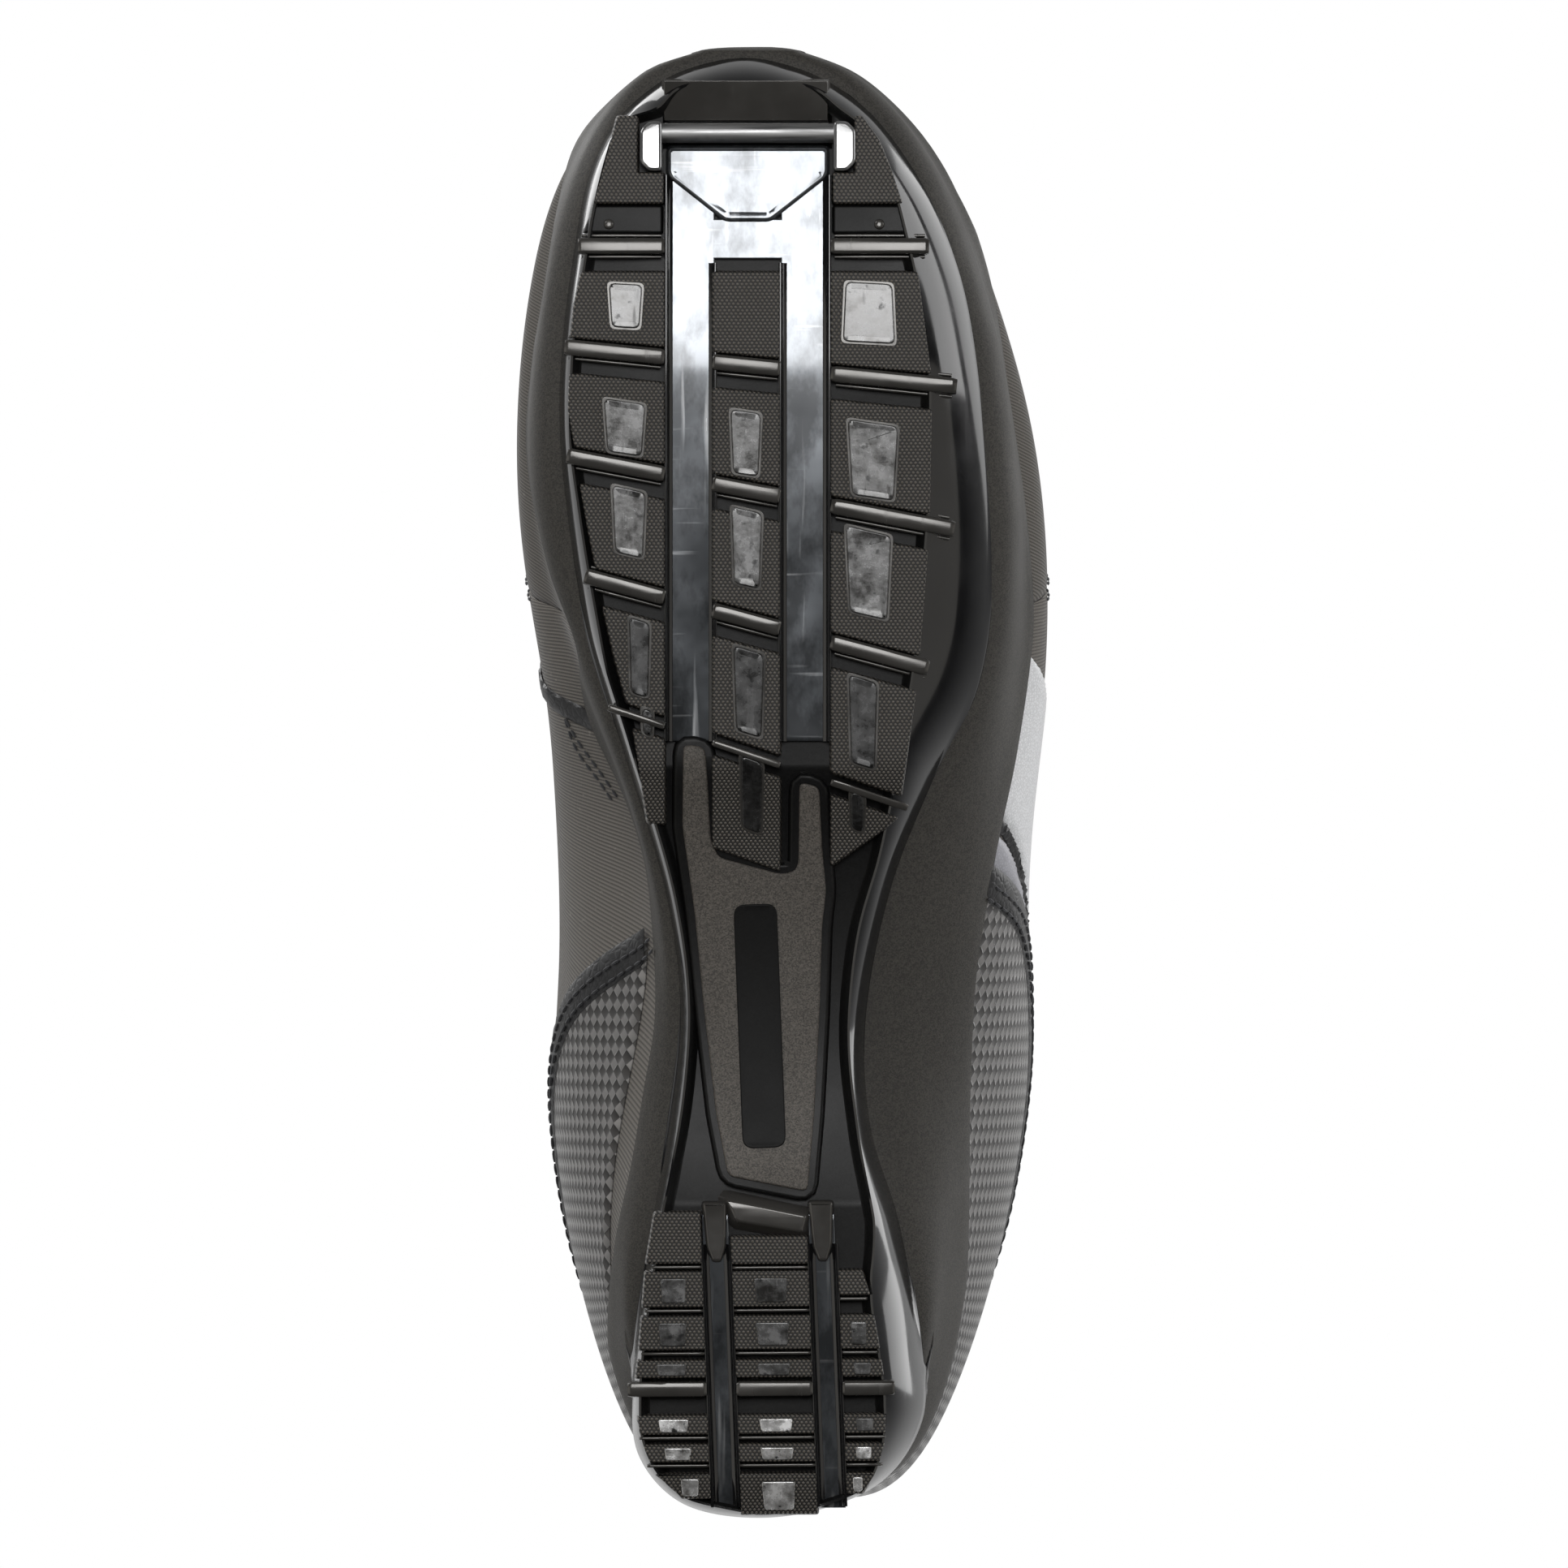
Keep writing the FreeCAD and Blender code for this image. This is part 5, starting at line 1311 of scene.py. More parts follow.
def wall_top(x, y, low, high):
    """Where the side wall that starts at (x, y, low) ends on the upper."""
    above = LAST_TREE.ray_cast(Vector((x, y, low)), Vector((0, 0, 1)))
    if above[0] is not None and above[0].z < high:
        return above[0]
    near = LAST_TREE.find_nearest(Vector((x, y, high)))
    normal = near[1] if (Vector((x, y, high)) - near[0]).dot(near[1]) > 0 else -near[1]
    return near[0] + normal * 1.0


WALL_STEPS, SLOPE_STEPS = 7, 12
RIM_H = 1.1
# The rim round the treads, from the floor outwards: how far inside its line, and how high
RIM_PROFILE = [
    (2.4, FLOOR_H + 0.1), (2.0, FLOOR_H - 0.1), (1.5, FLOOR_H - 0.9), (0.9, 2.0), (0.45, 1.35), (0.0, RIM_H),
]


def sole_walls(edge, inwards):
    """The loops of the side wall, from the sole's edge up to the upper, and one more that turns in."""
    wall = [[] for _ in range(WALL_STEPS)]
    for point, inward in zip(edge, inwards):
        start = Vector(point)
        high = float(polyline(SOLE_TOP, start.y)) + 7.0
        top = wall_top(start.x, start.y, start.z - 6, high)
        swell = Vector((-inward[0], -inward[1], 0)) * 0.5
        for k in range(WALL_STEPS):
            t = (k + 1) / WALL_STEPS
            wall[k].append(start.lerp(top, t) + swell * math.sin(math.pi * t))
    return wall + [[Vector((AXIS_X + (p.x - AXIS_X) * 0.86, p.y * 0.96, p.z)) for p in wall[-1]]]


def sole_underside():
    """The body of the sole: the floor between the treads, its rim, the sloping side and the wall."""
    outline = np.array(OUTLINE)
    if signed_area(OUTLINE) < 0:
        outline = outline[::-1]
    along = np.roll(outline, -1, 0) - np.roll(outline, 1, 0)
    along /= np.linalg.norm(along, axis=1, keepdims=True)
    inwards = np.column_stack([-along[:, 1], along[:, 0]])
    rim = outline + inwards * margin_width(outline, inwards)[:, None]

    def at_height(plan, h):
        return np.column_stack([plan, ground(plan[:, 1]) + h])

    loops = [at_height(rim + inwards * inset, h) for inset, h in RIM_PROFILE]
    top_h = polyline(SOLE_TOP, outline[:, 1]) + 1.0 - ground(outline[:, 1])
    for k in range(1, SLOPE_STEPS + 1):
        t = k / SLOPE_STEPS
        rise = 0.5 * t + 0.5 * t**2.6
        loops.append(at_height(rim * (1 - t) + outline * t, RIM_H + (top_h - RIM_H) * rise * 0.92))
    loops += sole_walls(loops[-1], inwards)
    build = Build()
    dull = len(RIM_PROFILE) - 1
    build.rings(loops[:dull], 1, False)
    build.rings(loops[dull - 1 :], 0, False)
    # the floor between the treads
    cell = 0.6
    xs = np.arange(BODY_LOW.x, BODY_HIGH.x, cell)
    ys = np.arange(BODY_LOW.y, BODY_HIGH.y, cell)
    edge_of_floor = [tuple(p) for p in rim + inwards * 2.2]
    plan, faces = clip_grid(xs, ys, lambda x, y: polygon_distance(x, y, edge_of_floor))
    z = ground(plan[:, 1]) + floor_height(plan[:, 0], plan[:, 1])
    build.add(np.column_stack([plan, z]), [f[::-1] for f in faces], 1)
    return build.object("sole_skin", [M_BODY, M_DEEP], False, 40.0)


def groove_lip(build, x_wall, inside, front, back, floor_h, lip_h, point=None):
    """The wall along one side of a guide groove: a thin crest, then a fillet down to the groove's floor."""
    # each point: how far inside the wall's line, and how high
    profile = [
        (-0.35, lip_h + 0.05), (-0.1, lip_h - 0.05), (0.12, lip_h), (0.25, lip_h + 0.35),
        (0.32, floor_h - 0.7), (0.5, floor_h - 0.3), (0.85, floor_h - 0.08), (1.4, floor_h + 0.02),
        (1.4, floor_h + 0.8), (-0.35, floor_h + 0.8),
    ]
    count = max(2, int((back - front) / 2.5))
    rings = []
    for i in range(count + 1):
        y = front + (back - front) * i / count
        ring = []
        for off, h in profile:
            x = x_wall + inside * off
            px, py = point(x, y) if point else (x, y)
            ring.append((px, py, float(ground(py)) + h))
        rings.append(ring)
    build.rings(rings)


FORK = {"front": -123.4, "cross": -114.6, "crotch": -106.4, "back": -9.2}


def guide_troughs():
    """The forefoot grooves: one forked floor, with a low wall along each of its sides."""
    (l0, l1), (r0, r1) = GROOVE_LEFT, GROOVE_RIGHT
    front, cross, crotch, back = FORK["front"], FORK["cross"], FORK["crotch"], FORK["back"]
    floor_h, lip_h = FLOOR_H - 1.2, 1.25
    outline = [
        (l0, front), (l1, front), (l1, cross), (r0, cross), (r0, front), (r1, front), (r1, back), (r0, back),
        (r0, crotch), (l1, crotch), (l1, back), (l0, back),
    ]
    relief = Relief()
    relief.block(outline, floor_h, FLOOR_H + 1.0, 0.35, draft=0.0)
    floor = relief.object("groove_floor", [M_GROOVE], 2.5)
    walls = Build()
    split = crotch + 0.8
    for x_wall, inside, start in ((l0, 1, front), (r1, -1, front), (l1, -1, split), (r0, 1, split)):
        groove_lip(walls, x_wall, inside, start, back, floor_h, lip_h)
    return floor, walls.object("groove_walls", [M_BODY], False, 40.0)


def heel_troughs():
    """The two heel grooves and the ramp bar in front of the middle strip."""
    walls = Build()
    relief = Relief()
    front, back, floor_h, lip_h = 86.0, 145.4, 2.4, 0.9
    tongue = [(-2.5, 83.5), (2.5, 83.5), (2.0, 92.5), (0.9, 95.6), (-0.9, 95.6), (-2.0, 92.5)]
    for left, right in ((-HEEL_OUTER, -HEEL_INNER), (HEEL_INNER, HEEL_OUTER)):
        outline = [heel_point(x, y) for x, y in ((left, front), (right, front), (right, back), (left, back))]
        relief.block(outline, floor_h, 4.6, 0.35, draft=0.0)
        for x_wall, inside in ((left, 1), (right, -1)):
            groove_lip(walls, x_wall, inside, front + 6.0, back - 0.4, floor_h, lip_h, heel_point)
        middle = (left + right) / 2
        relief.block([heel_point(middle + x, y) for x, y in tongue], 1.5, 3.6, 0.7, 1, 0.1, 0.6)
    ramp = [heel_point(-8.6, 82.6), heel_point(8.0, 86.2), heel_point(6.9, 89.9), heel_point(-6.6, 87.6)]
    relief.block(ramp, 0.9, 4.2, 0.7, 1, 0.5, 0.9)
    floor = relief.object("heel_guide_floor", [M_GROOVE, M_RIB], 2.5)
    return floor, walls.object("heel_guide_walls", [M_BODY], False, 40.0)


def shank_object():
    relief = Relief()
    relief.block(SHANK, 1.45, 3.9, 0.5, draft=0.05, corner=1.4)
    return relief.object("shank", [M_SHANK], 3.0)


def badge_object():
    """The inlay of the shank, left plain."""
    centre_x, centre_y, half_long, half_wide = -4.6, 48.2, 24.6, 4.4
    c, s = math.cos(HEEL_LEAN), math.sin(HEEL_LEAN)
    corners = []
    for turn_x, turn_y in ((-1, -1), (1, -1), (1, 1), (-1, 1)):
        x, y = turn_x * half_wide, turn_y * half_long
        corners.append((centre_x + x * c + y * s, centre_y + y * c - x * s))
    relief = Relief()
    relief.block(round_corners(corners, 2.4, 5), 1.2, 2.6, 0.3, draft=0.0, dish=0.12)
    return relief.object("badge", [M_BADGE], 3.0)


def toe_plate_object():
    relief = Relief()
    relief.block(TOE_PLATE, 1.5, 4.6, 0.7, draft=0.2, corner=1.0, dish=0.16)
    return relief.object("toe_plate_face", [M_GROOVE], 2.0)


def shank_frame():
    """The rounded glossy frame of the sole that the shank is set in."""
    relief = Relief()
    relief.block(grown(round_corners(SHANK, 2.0, 3), 2.0), 2.1, 4.4, 0.9, draft=0.1)
    return relief


def bar_blocks():
    """The rounded glossy blocks of the sole that hold the ends of the bar, painted pale metallic grey as a
    painted highlight.
    """
    relief = Relief()
    front, back, corner = -134.4, -124.2, 1.8
    for outer, inner in ((BAR_LOW.x - 1.3, BAR_LOW.x + 3.2), (BAR_HIGH.x + 1.3, BAR_HIGH.x - 3.2)):
        tip = outer + (inner - outer) * 0.4
        outline = [
            (inner, front), (tip, front), (outer, front + corner),
            (outer, back - corner), (tip, back), (inner, back),
        ]
        relief.block(outline, 0.3, 5.4, 0.7, draft=0.0, corner=0.8)
    return relief


def recess_ramp():
    """The scratched face ahead of the bar, which slopes into the recess from the toe."""
    relief = Relief()
    left, right, front, back, rise = BAR_LOW.x + 3.6, BAR_HIGH.x - 4.4, -142.6, -134.6, 3.0
    relief.block([(left, front), (right, front), (right, back), (left, back)], 0.9, 4.4, 0.15)
    for vertex in relief.bm.verts:
        vertex.co.z += rise * (vertex.co.y - front) / (back - front)
    return relief


def make_the_sole():
    finish_piece(sole_underside(), "boot", "sole_plastic", "sole_body")
    finish_piece(shank_frame().object("shank_frame", [M_DEEP], 3.0), "boot", "sole_plastic")
    finish_piece(bar_blocks().object("bar_end_blocks", [M_BOSS_PAINTED_HIGHLIGHT], 2.0), "boot", "sole_plastic")
    finish_piece(recess_ramp().object("toe_recess_face", [M_RIB], 2.0), "boot", "sole_plastic")
    floor, walls = guide_troughs()
    finish_piece(floor, "boot", "guide_plastic", "groove_guide_plate")
    finish_piece(walls, "boot", "sole_plastic")
    finish_piece(toe_plate_object(), "boot", "guide_plastic", "toe_plate")
    finish_piece(shank_object(), "boot", "shank_grey", "shank_plate")
    finish_piece(badge_object(), "boot", "badge_black", "badge_inlay")
    floor, walls = heel_troughs()
    finish_piece(floor, "boot", "guide_plastic", "heel_guide_plate")
    finish_piece(walls, "boot", "sole_plastic")
    for strip in ("medial", "centre", "lateral"):
        fore = forefoot_tread(strip).object(f"forefoot_tread_{strip}_relief", TREAD_LOOKS, 3.0)
        finish_piece(fore, "boot", "tread_rubber", f"forefoot_tread_{strip}")
        heel = heel_tread(strip).object(f"heel_tread_{strip}_relief", TREAD_LOOKS, 3.0)
        finish_piece(heel, "boot", "tread_rubber", f"heel_tread_{strip}")


make_the_sole()


# ---------------------------------------------------------------------------------------------
# The upper
# ---------------------------------------------------------------------------------------------

VAMP_EDGE = [(-22, -10), (-66, 110)]
THROAT_HALF = 14.0
PANEL_EDGE = {
    1: [(14, 20), (19, 33), (27, 50), (40, 64), (70, 77), (110, 86), (170, 90), (170, 20)],
    -1: [(26, 20), (29.5, 27), (35, 38), (46, 54), (62, 67), (86, 78), (112, 85), (170, 90), (170, 20)],
}
WHITE_STRIPE = [(-27, 33), (-34, 24), (3.5, 24), (7, 33), (20.5, 50), (29, 62), (-3, 62), (-14, 50)]
SILVER_STRIPE = [(7, 24), (10.5, 33), (23.4, 50), (31.5, 62), (35, 62), (26, 49), (17.6, 33), (13.4, 24)]
EYESTAY = [(-68, 50), (-68, 110), (-4, 150), (10, 112)]
THROAT = [(-64, 60), (-64, 190), (30, 190), (30, 112)]
COVER = [(-71, 58), (-71, 130), (-5, 150), (-1, 100)]
# Where the rand ends against the fabric, seen from below: down the lateral side, then back up the medial side
RAND_EDGE = [
    (0, -153), (22, -143), (33, -126), (41, -104), (45, -80), (48.8, -52), (50, -34), (49.4, -25),
    (46.4, -5), (42.8, 12), (40, 28), (38.5, 38), (37.2, 62), (36.9, 87), (36.4, 104), (34.6, 121),
    (30, 134), (20, 145), (0, 152), (-20, 147), (-31, 134), (-34.5, 115), (-33, 93), (-29.9, 77),
    (-27.6, 63), (-25.1, 47), (-25.8, 26), (-27.3, 14.5), (-30.9, 3), (-38.4, -14), (-41, -28),
    (-46.7, -44), (-51.0, -67), (-50.1, -84), (-47.8, -100), (-45.1, -116), (-41.2, -130),
    (-34.6, -138), (-20, -149),
]


def near_sole(extra=4.0):
    """Positive above the joint with the sole."""
    return Z - polyline(SOLE_TOP, Y) - extra


def ahead_of(line):
    """Signed distance in front of a straight line given by two (y, z) points."""
    (y0, z0), (y1, z1) = line
    length = math.hypot(y1 - y0, z1 - z0)
    return -((Y - y0) * (z1 - z0) - (Z - z0) * (y1 - y0)) / length


def crease_relief(sheet):
    return creases(sheet.points)


def stitch_row(build, path, pitch, share, radius):
    """Short thread stitches along a path of points, each sunk at both ends."""
    points = [Vector(p) for p in path]
    lengths = [0.0]
    for a, b in zip(points[:-1], points[1:]):
        lengths.append(lengths[-1] + (b - a).length)

    def at(distance):
        i = min(max(int(np.searchsorted(lengths, distance)) - 1, 0), len(points) - 2)
        t = (distance - lengths[i]) / max(lengths[i + 1] - lengths[i], 1e-6)
        return points[i].lerp(points[i + 1], min(max(t, 0), 1))

    def thread_radius(t):
        return radius * (0.55 + 0.45 * math.sin(math.pi * t))

    place = 0.4
    while place + pitch * share < lengths[-1]:
        a, b = at(place), at(place + pitch * share)
        build.tube([a, a.lerp(b, 0.33), a.lerp(b, 0.67), b], thread_radius)
        place += pitch


def side_path(points, side, lift):
    """A smooth line over one side of the upper, through (y, z) points."""
    found = [on_surface(y, z, side, lift) for y, z in smooth_curve(points, False, 10)]
    return [p for p in found if p is not None]


def under_path(points, lift):
    """A smooth line over the lower side of the upper, through (x, y) points seen from below."""
    found = [under_surface(x, y, lift) for x, y in smooth_curve(points, False, 6)]
    return [p for p in found if p is not None]


def make_shell():
    throat = np.where(np.abs(X) < THROAT_HALF + 6, polygon_distance(Y, Z, THROAT), -50)
    throat = np.minimum(throat, THROAT_HALF - np.abs(X))
    front = ahead_of(VAMP_EDGE)
    vamp = both(front - 0.1, near_sole())
    vamp = without(vamp, throat)
    obj = Sheet(vamp).solid("vamp_fabric", [M_VAMP], -1.4, 1.4, 1.0, 0.35, crease_relief)
    finish_piece(obj, "boot", "softshell", "vamp")
    for name, sign in (("lateral_quarter", 1), ("medial_quarter", -1)):
        quarter = both(-front - 0.1, near_sole(), sign * X - 0.05)
        sheet = Sheet(without(quarter, throat))
        obj = sheet.solid(f"{name}_fabric", [M_SHELL], -1.4, 1.4, 1.0, 0.35, crease_relief)
        finish_piece(obj, "boot", "softshell", name)


def make_inner_layers():
    """Lining, footbed and tongue, which show inside the cuff, and the stiffeners that stay hidden; their
    near-black board is a painted shadow where it shows by the sole.
    """
    lining = Sheet(both(Z - polyline(SOLE_TOP, Y) - 7.0, Y + 126))
    obj = lining.solid("lining_knit", [M_KNIT], -5.9, 2.4, 0, 0)
    finish_piece(obj, "boot", "padding_fabric", "lining")
    flat = both(polyline(SOLE_TOP, Y) + 12.5 - Z, Y + 126)
    footbed = Sheet(flat)
    obj = footbed.solid("footbed_foam", [M_FOAM], -8.6, 2.2, 1.5, 0.4)
    finish_piece(obj, "boot", "padding_fabric", "footbed")
    opening = polygon_distance(Y, Z, [(-74, 56), (-74, 200), (26, 200), (26, 122)])
    tongue = Sheet(both(opening, 24.0 - np.abs(X), Z - 60))

    def quilting(sheet):
        rows = np.abs(((sheet.surface[:, 1] / 9.0) % 1.0) - 0.5) * 2
        return -0.45 * (1 - smoothstep((1 - rows) / 0.25))

    obj = tongue.solid("tongue_pad", [M_COLLAR], -3.0, 1.5, 3.0, 0.7, quilting)
    finish_piece(obj, "boot", "padding_fabric", "tongue")
    # the stiffeners get the near-black board finish, a painted shadow in the gap by the sole
    for node in ("lasting_board", "toe_puff", "heel_counter"):
        use_cad_mesh(node, M_BOARD_PAINTED_SHADOW)


def use_cad_mesh(node, material):
    """Shows a CAD node's own mesh with a material."""
    obj = frame["nodes"][node]
    obj.data.materials.clear()
    obj.data.materials.append(material)


def below_cuff(distance):
    """Points all round the shell, this far below the cuff's edge along the surface."""
    rows, outs = LAST[::-1], OUTWARD[::-1]
    steps = np.linalg.norm(np.diff(rows, axis=0), axis=2)
    run = np.vstack([np.zeros(rows.shape[1]), np.cumsum(steps, 0)])
    points = []
    for k in range(rows.shape[1]):
        i = int(np.searchsorted(run[:, k], distance))
        t = (distance - run[i - 1, k]) / (run[i, k] - run[i - 1, k])
        points.append(rows[i - 1, k] * (1 - t) + rows[i, k] * t + outs[i, k] * 0.15)
    return np.array(points)


def make_collar():
    """A padded knit roll round the cuff's edge."""
    loop, out = LAST[-1], OUTWARD[-1]
    # the roll stands square to the slanting edge of the cuff
    up = np.array([0, 0.0709, 0.9975])
    rings = []
    sides, puffs = 16, 26
    for k in range(sides):
        a = 2 * math.pi * k / sides
        c, s = math.cos(a), math.sin(a)
        across = -2.6 + 3.3 * math.copysign(abs(c) ** 0.8, c)
        height = 3.1 + 2.9 * math.copysign(abs(s) ** 0.8, s)
        puff = 0.16 * np.sin(np.arange(len(loop)) * 2 * math.pi * puffs / len(loop))[:, None] * max(s, 0)
        rings.append(loop + out * across + up * height + out * puff)
    count = len(loop)
    around = np.arange(count) / count * 300
    uv = np.concatenate([np.column_stack([around, np.full(count, k * 1.1)]) for k in range(sides)], 0)
    faces = band_faces(sides, count, True)
    obj = new_object("collar_roll", np.concatenate(rings, 0), faces, [M_COLLAR], None, uv, 180)
    fix_normals(obj)
    finish_piece(obj, "boot", "collar_knit", "collar")
    build = Build()
    for distance in (2.4, 4.4):
        path = below_cuff(distance)
        behind = [tuple(p) for p in np.roll(path, len(path) // 2, 0) if abs(p[0]) > 25 or p[1] > 60]
        stitch_row(build, behind, 3.2, 0.68, 0.3)
    obj = build.object("cuff_stitching", [M_THREAD])
    finish_piece(obj, "boot", None)


def make_rand():
    """The matte coated band above the sole. Its upper edge is cut to the line seen from below."""
    edge = smooth_curve(RAND_EDGE, True, 6)
    plan = np.where(Z < 62, polygon_distance(X, Y, edge), -50)
    height = polyline([(-156, 34), (-120, 30.5), (-60, 34), (0, 38), (40, 41), (90, 41), (154, 41)], Y) - Z
    sheet = Sheet(both(plan, height, near_sole(-0.5)))

    def swell(part):
        return 0.35 * smoothstep(part.field / 6.0)

    obj = sheet.solid("rand_band", [M_RAND], 0.12, 1.3, 0.7, 0.15, swell)
    finish_piece(obj, "boot", "rand_coating", "rand")


def wrapped_round_heel(points):
    """Surface coordinates for the panels: millimetres up, and millimetres back and then round the heel."""
    x, y, z = points.T
    turn_y, radius, slant = 100.0, 46.0, 1.2
    turn = np.arctan2(np.maximum(y - turn_y, 0), np.abs(x))
    return np.column_stack([z * slant, np.where(y > turn_y, turn_y + radius * turn, y)])


def make_heel_panels():
    above = Z - polyline([(-156, 34), (-60, 30), (0, 30), (40, 30), (90, 34), (154, 38)], Y)
    for sign, name in ((1, "lateral_heel_panel"), (-1, "medial_heel_panel")):
        panel = polygon_distance(Y, Z, round_corners(PANEL_EDGE[sign], 9, 6))
        half = both(panel, sign * X - 0.1, above)
        film = Sheet(half)
        film.surface = wrapped_round_heel(film.points)
        obj = film.solid(f"{name}_film", [M_PANEL], 0.1, 0.9, 0.8, 0.8)
        finish_piece(obj, "boot", "woven_composite", name)
        edge = both(5.2 - panel, panel + 1.6, sign * X - 0.1, above, 168 - Y)
        obj = Sheet(edge).solid(f"{name}_binding", [M_OVERLAY], 0.95, 0.55, 0.9, 0.8)
        finish_piece(obj, "boot", None)
        build = Build()
        line = PANEL_EDGE[sign][1:-2] + [(138, 87.5)]
        for shift in (1.4, 4.2):
            moved = [(y + shift * 0.8, z - shift * 0.6) for y, z in line]
            stitch_row(build, side_path(moved, sign, 1.62), 3.0, 0.72, 0.33)
        obj = build.object(f"{name}_stitching", [M_THREAD])
        finish_piece(obj, "boot", None)
    tab = both(8.0 - np.abs(X), Y - 110, 112 - Z, above)
    obj = Sheet(tab).solid("heel_tab_overlay", [M_OVERLAY], 1.15, 1.15, 1.2, 0.8)
    finish_piece(obj, "boot", "overlay_black", "heel_tab")


def make_stripes():
    above = Z - 27
    for points, name, material, slot in (
        (WHITE_STRIPE, "white_stripe", M_WHITE, "white_film"),
        (SILVER_STRIPE, "silver_stripe", M_SILVER, "silver_film"),
    ):
        field = both(polygon_distance(Y, Z, round_corners(points, 2, 4)), X - 1, above)
        obj = Sheet(field).solid(f"{name}_film", [material], 0.1, 0.7, 0.5, 0.8)
        finish_piece(obj, "boot", slot, name)
    between = [(4, 24), (6.6, 24), (10, 33), (23, 50), (31, 62), (29.4, 62), (20.9, 50), (7.4, 33)]
    field = both(polygon_distance(Y, Z, between) - 0.1, X - 1, above)
    obj = Sheet(field).solid("stripe_divider", [M_OVERLAY], 0.1, 1.0, 0.5, 0.6)
    finish_piece(obj, "boot", None)
    # the medial side has a slim black flash and a stitched fold instead of the stripes
    flash = [(-11, 24), (-6, 24), (-23, 56), (-28, 56)]
    field = both(polygon_distance(Y, Z, round_corners(flash, 2, 4)), -X - 1)
    obj = Sheet(field).solid("medial_flash", [M_OVERLAY], 0.1, 0.7, 0.6, 0.8)
    finish_piece(obj, "boot", None)


def make_seams():
    """Stitched seams of the shell: along the vamp's edge, under the medial flash and round the eyestays."""
    build = Build()
    (y0, z0), (y1, z1) = VAMP_EDGE
    for side in (-1, 1):
        for shift in (1.6, -1.6):
            line = [(y0 + (y1 - y0) * t + shift, z0 + (z1 - z0) * t) for t in (0.4, 0.5, 0.6, 0.7)]
            stitch_row(build, side_path(line, side, 0.25), 2.6, 0.7, 0.28)
    for shift in (0.0, 2.2):
        start = (-46.5 + shift * 0.6, -19 + shift)
        line = [start, (-42, -10 + shift), (-37.4, -3.6 + shift), (-33.4, 2.2 + shift)]
        stitch_row(build, under_path(line, 0.3), 2.6, 0.7, 0.3)
    for side in (-1, 1):
        for inset in (1.5, 5.9):
            points = []
            for y in np.linspace(-60, 2, 40):
                x = side * (THROAT_HALF + inset)
                hit = LAST_TREE.ray_cast(Vector((x, y, 200)), Vector((0, 0, -1)))
                if hit[0] is not None and hit[0].z < 116:
                    normal = hit[1] if hit[1].z > 0 else -hit[1]
                    points.append(hit[0] + normal * 1.35)
            stitch_row(build, points, 2.8, 0.7, 0.28)
    finish_piece(build.object("seam_stitching", [M_THREAD]), "boot", None)


def make_eyestays():
    window = polygon_distance(Y, Z, EYESTAY)
    for sign, name in ((1, "lateral_eyestay"), (-1, "medial_eyestay")):
        field = both(window, sign * X - THROAT_HALF - 0.3, THROAT_HALF + 7.5 - sign * X)
        obj = Sheet(field).solid(f"{name}_overlay", [M_OVERLAY], 0.1, 1.0, 1.0, 0.7)
        finish_piece(obj, "boot", "overlay_black", name)


# The zip's own frame lies on the straight ridge of the instep.
ZIP_LOW, ZIP_HIGH = Vector((0, -52, 81.6)), Vector((0, -10, 105.1))
ZIP_ALONG = (ZIP_HIGH - ZIP_LOW).normalized()
ZIP_UP = Vector((1, 0, 0)).cross(ZIP_ALONG)
ZIP_MIDDLE = (ZIP_LOW + ZIP_HIGH) / 2
ZIP_LENGTH = 50.0
TAPE_HALF = ZIP_LENGTH / 2 + 3


def zip_coordinates():
    dy, dz = Y - ZIP_MIDDLE.y, Z - ZIP_MIDDLE.z
    return X, dy * ZIP_ALONG.y + dz * ZIP_ALONG.z, dy * ZIP_UP.y + dz * ZIP_UP.z


def zip_point(x, along, up):
    return ZIP_MIDDLE + Vector((1, 0, 0)) * x + ZIP_ALONG * along + ZIP_UP * up


def make_laces():
    """Flat woven laces crossing over the tongue, under the cover."""
    x, along, up = zip_coordinates()
    build_field = np.full(X.shape, -50.0)
    rows, pitch = 5, 10.5
    for row in range(rows):
        for lean in (-1, 1):
            turn = math.radians(lean * 14)
            centre = (row - (rows - 1) / 2) * pitch - 2
            across = (along - centre) * math.cos(turn) - x * math.sin(turn)
            build_field = np.maximum(build_field, both(2.1 - np.abs(across), 18.6 - np.abs(x)))
    field = both(build_field, up + 22, Z - 60, 60 - np.abs(along))
    obj = Sheet(field).solid("lace_webbing", [M_WEBBING], 1.3, 1.1, 0.6, 0.6)
    finish_piece(obj, "boot", "webbing", "laces")


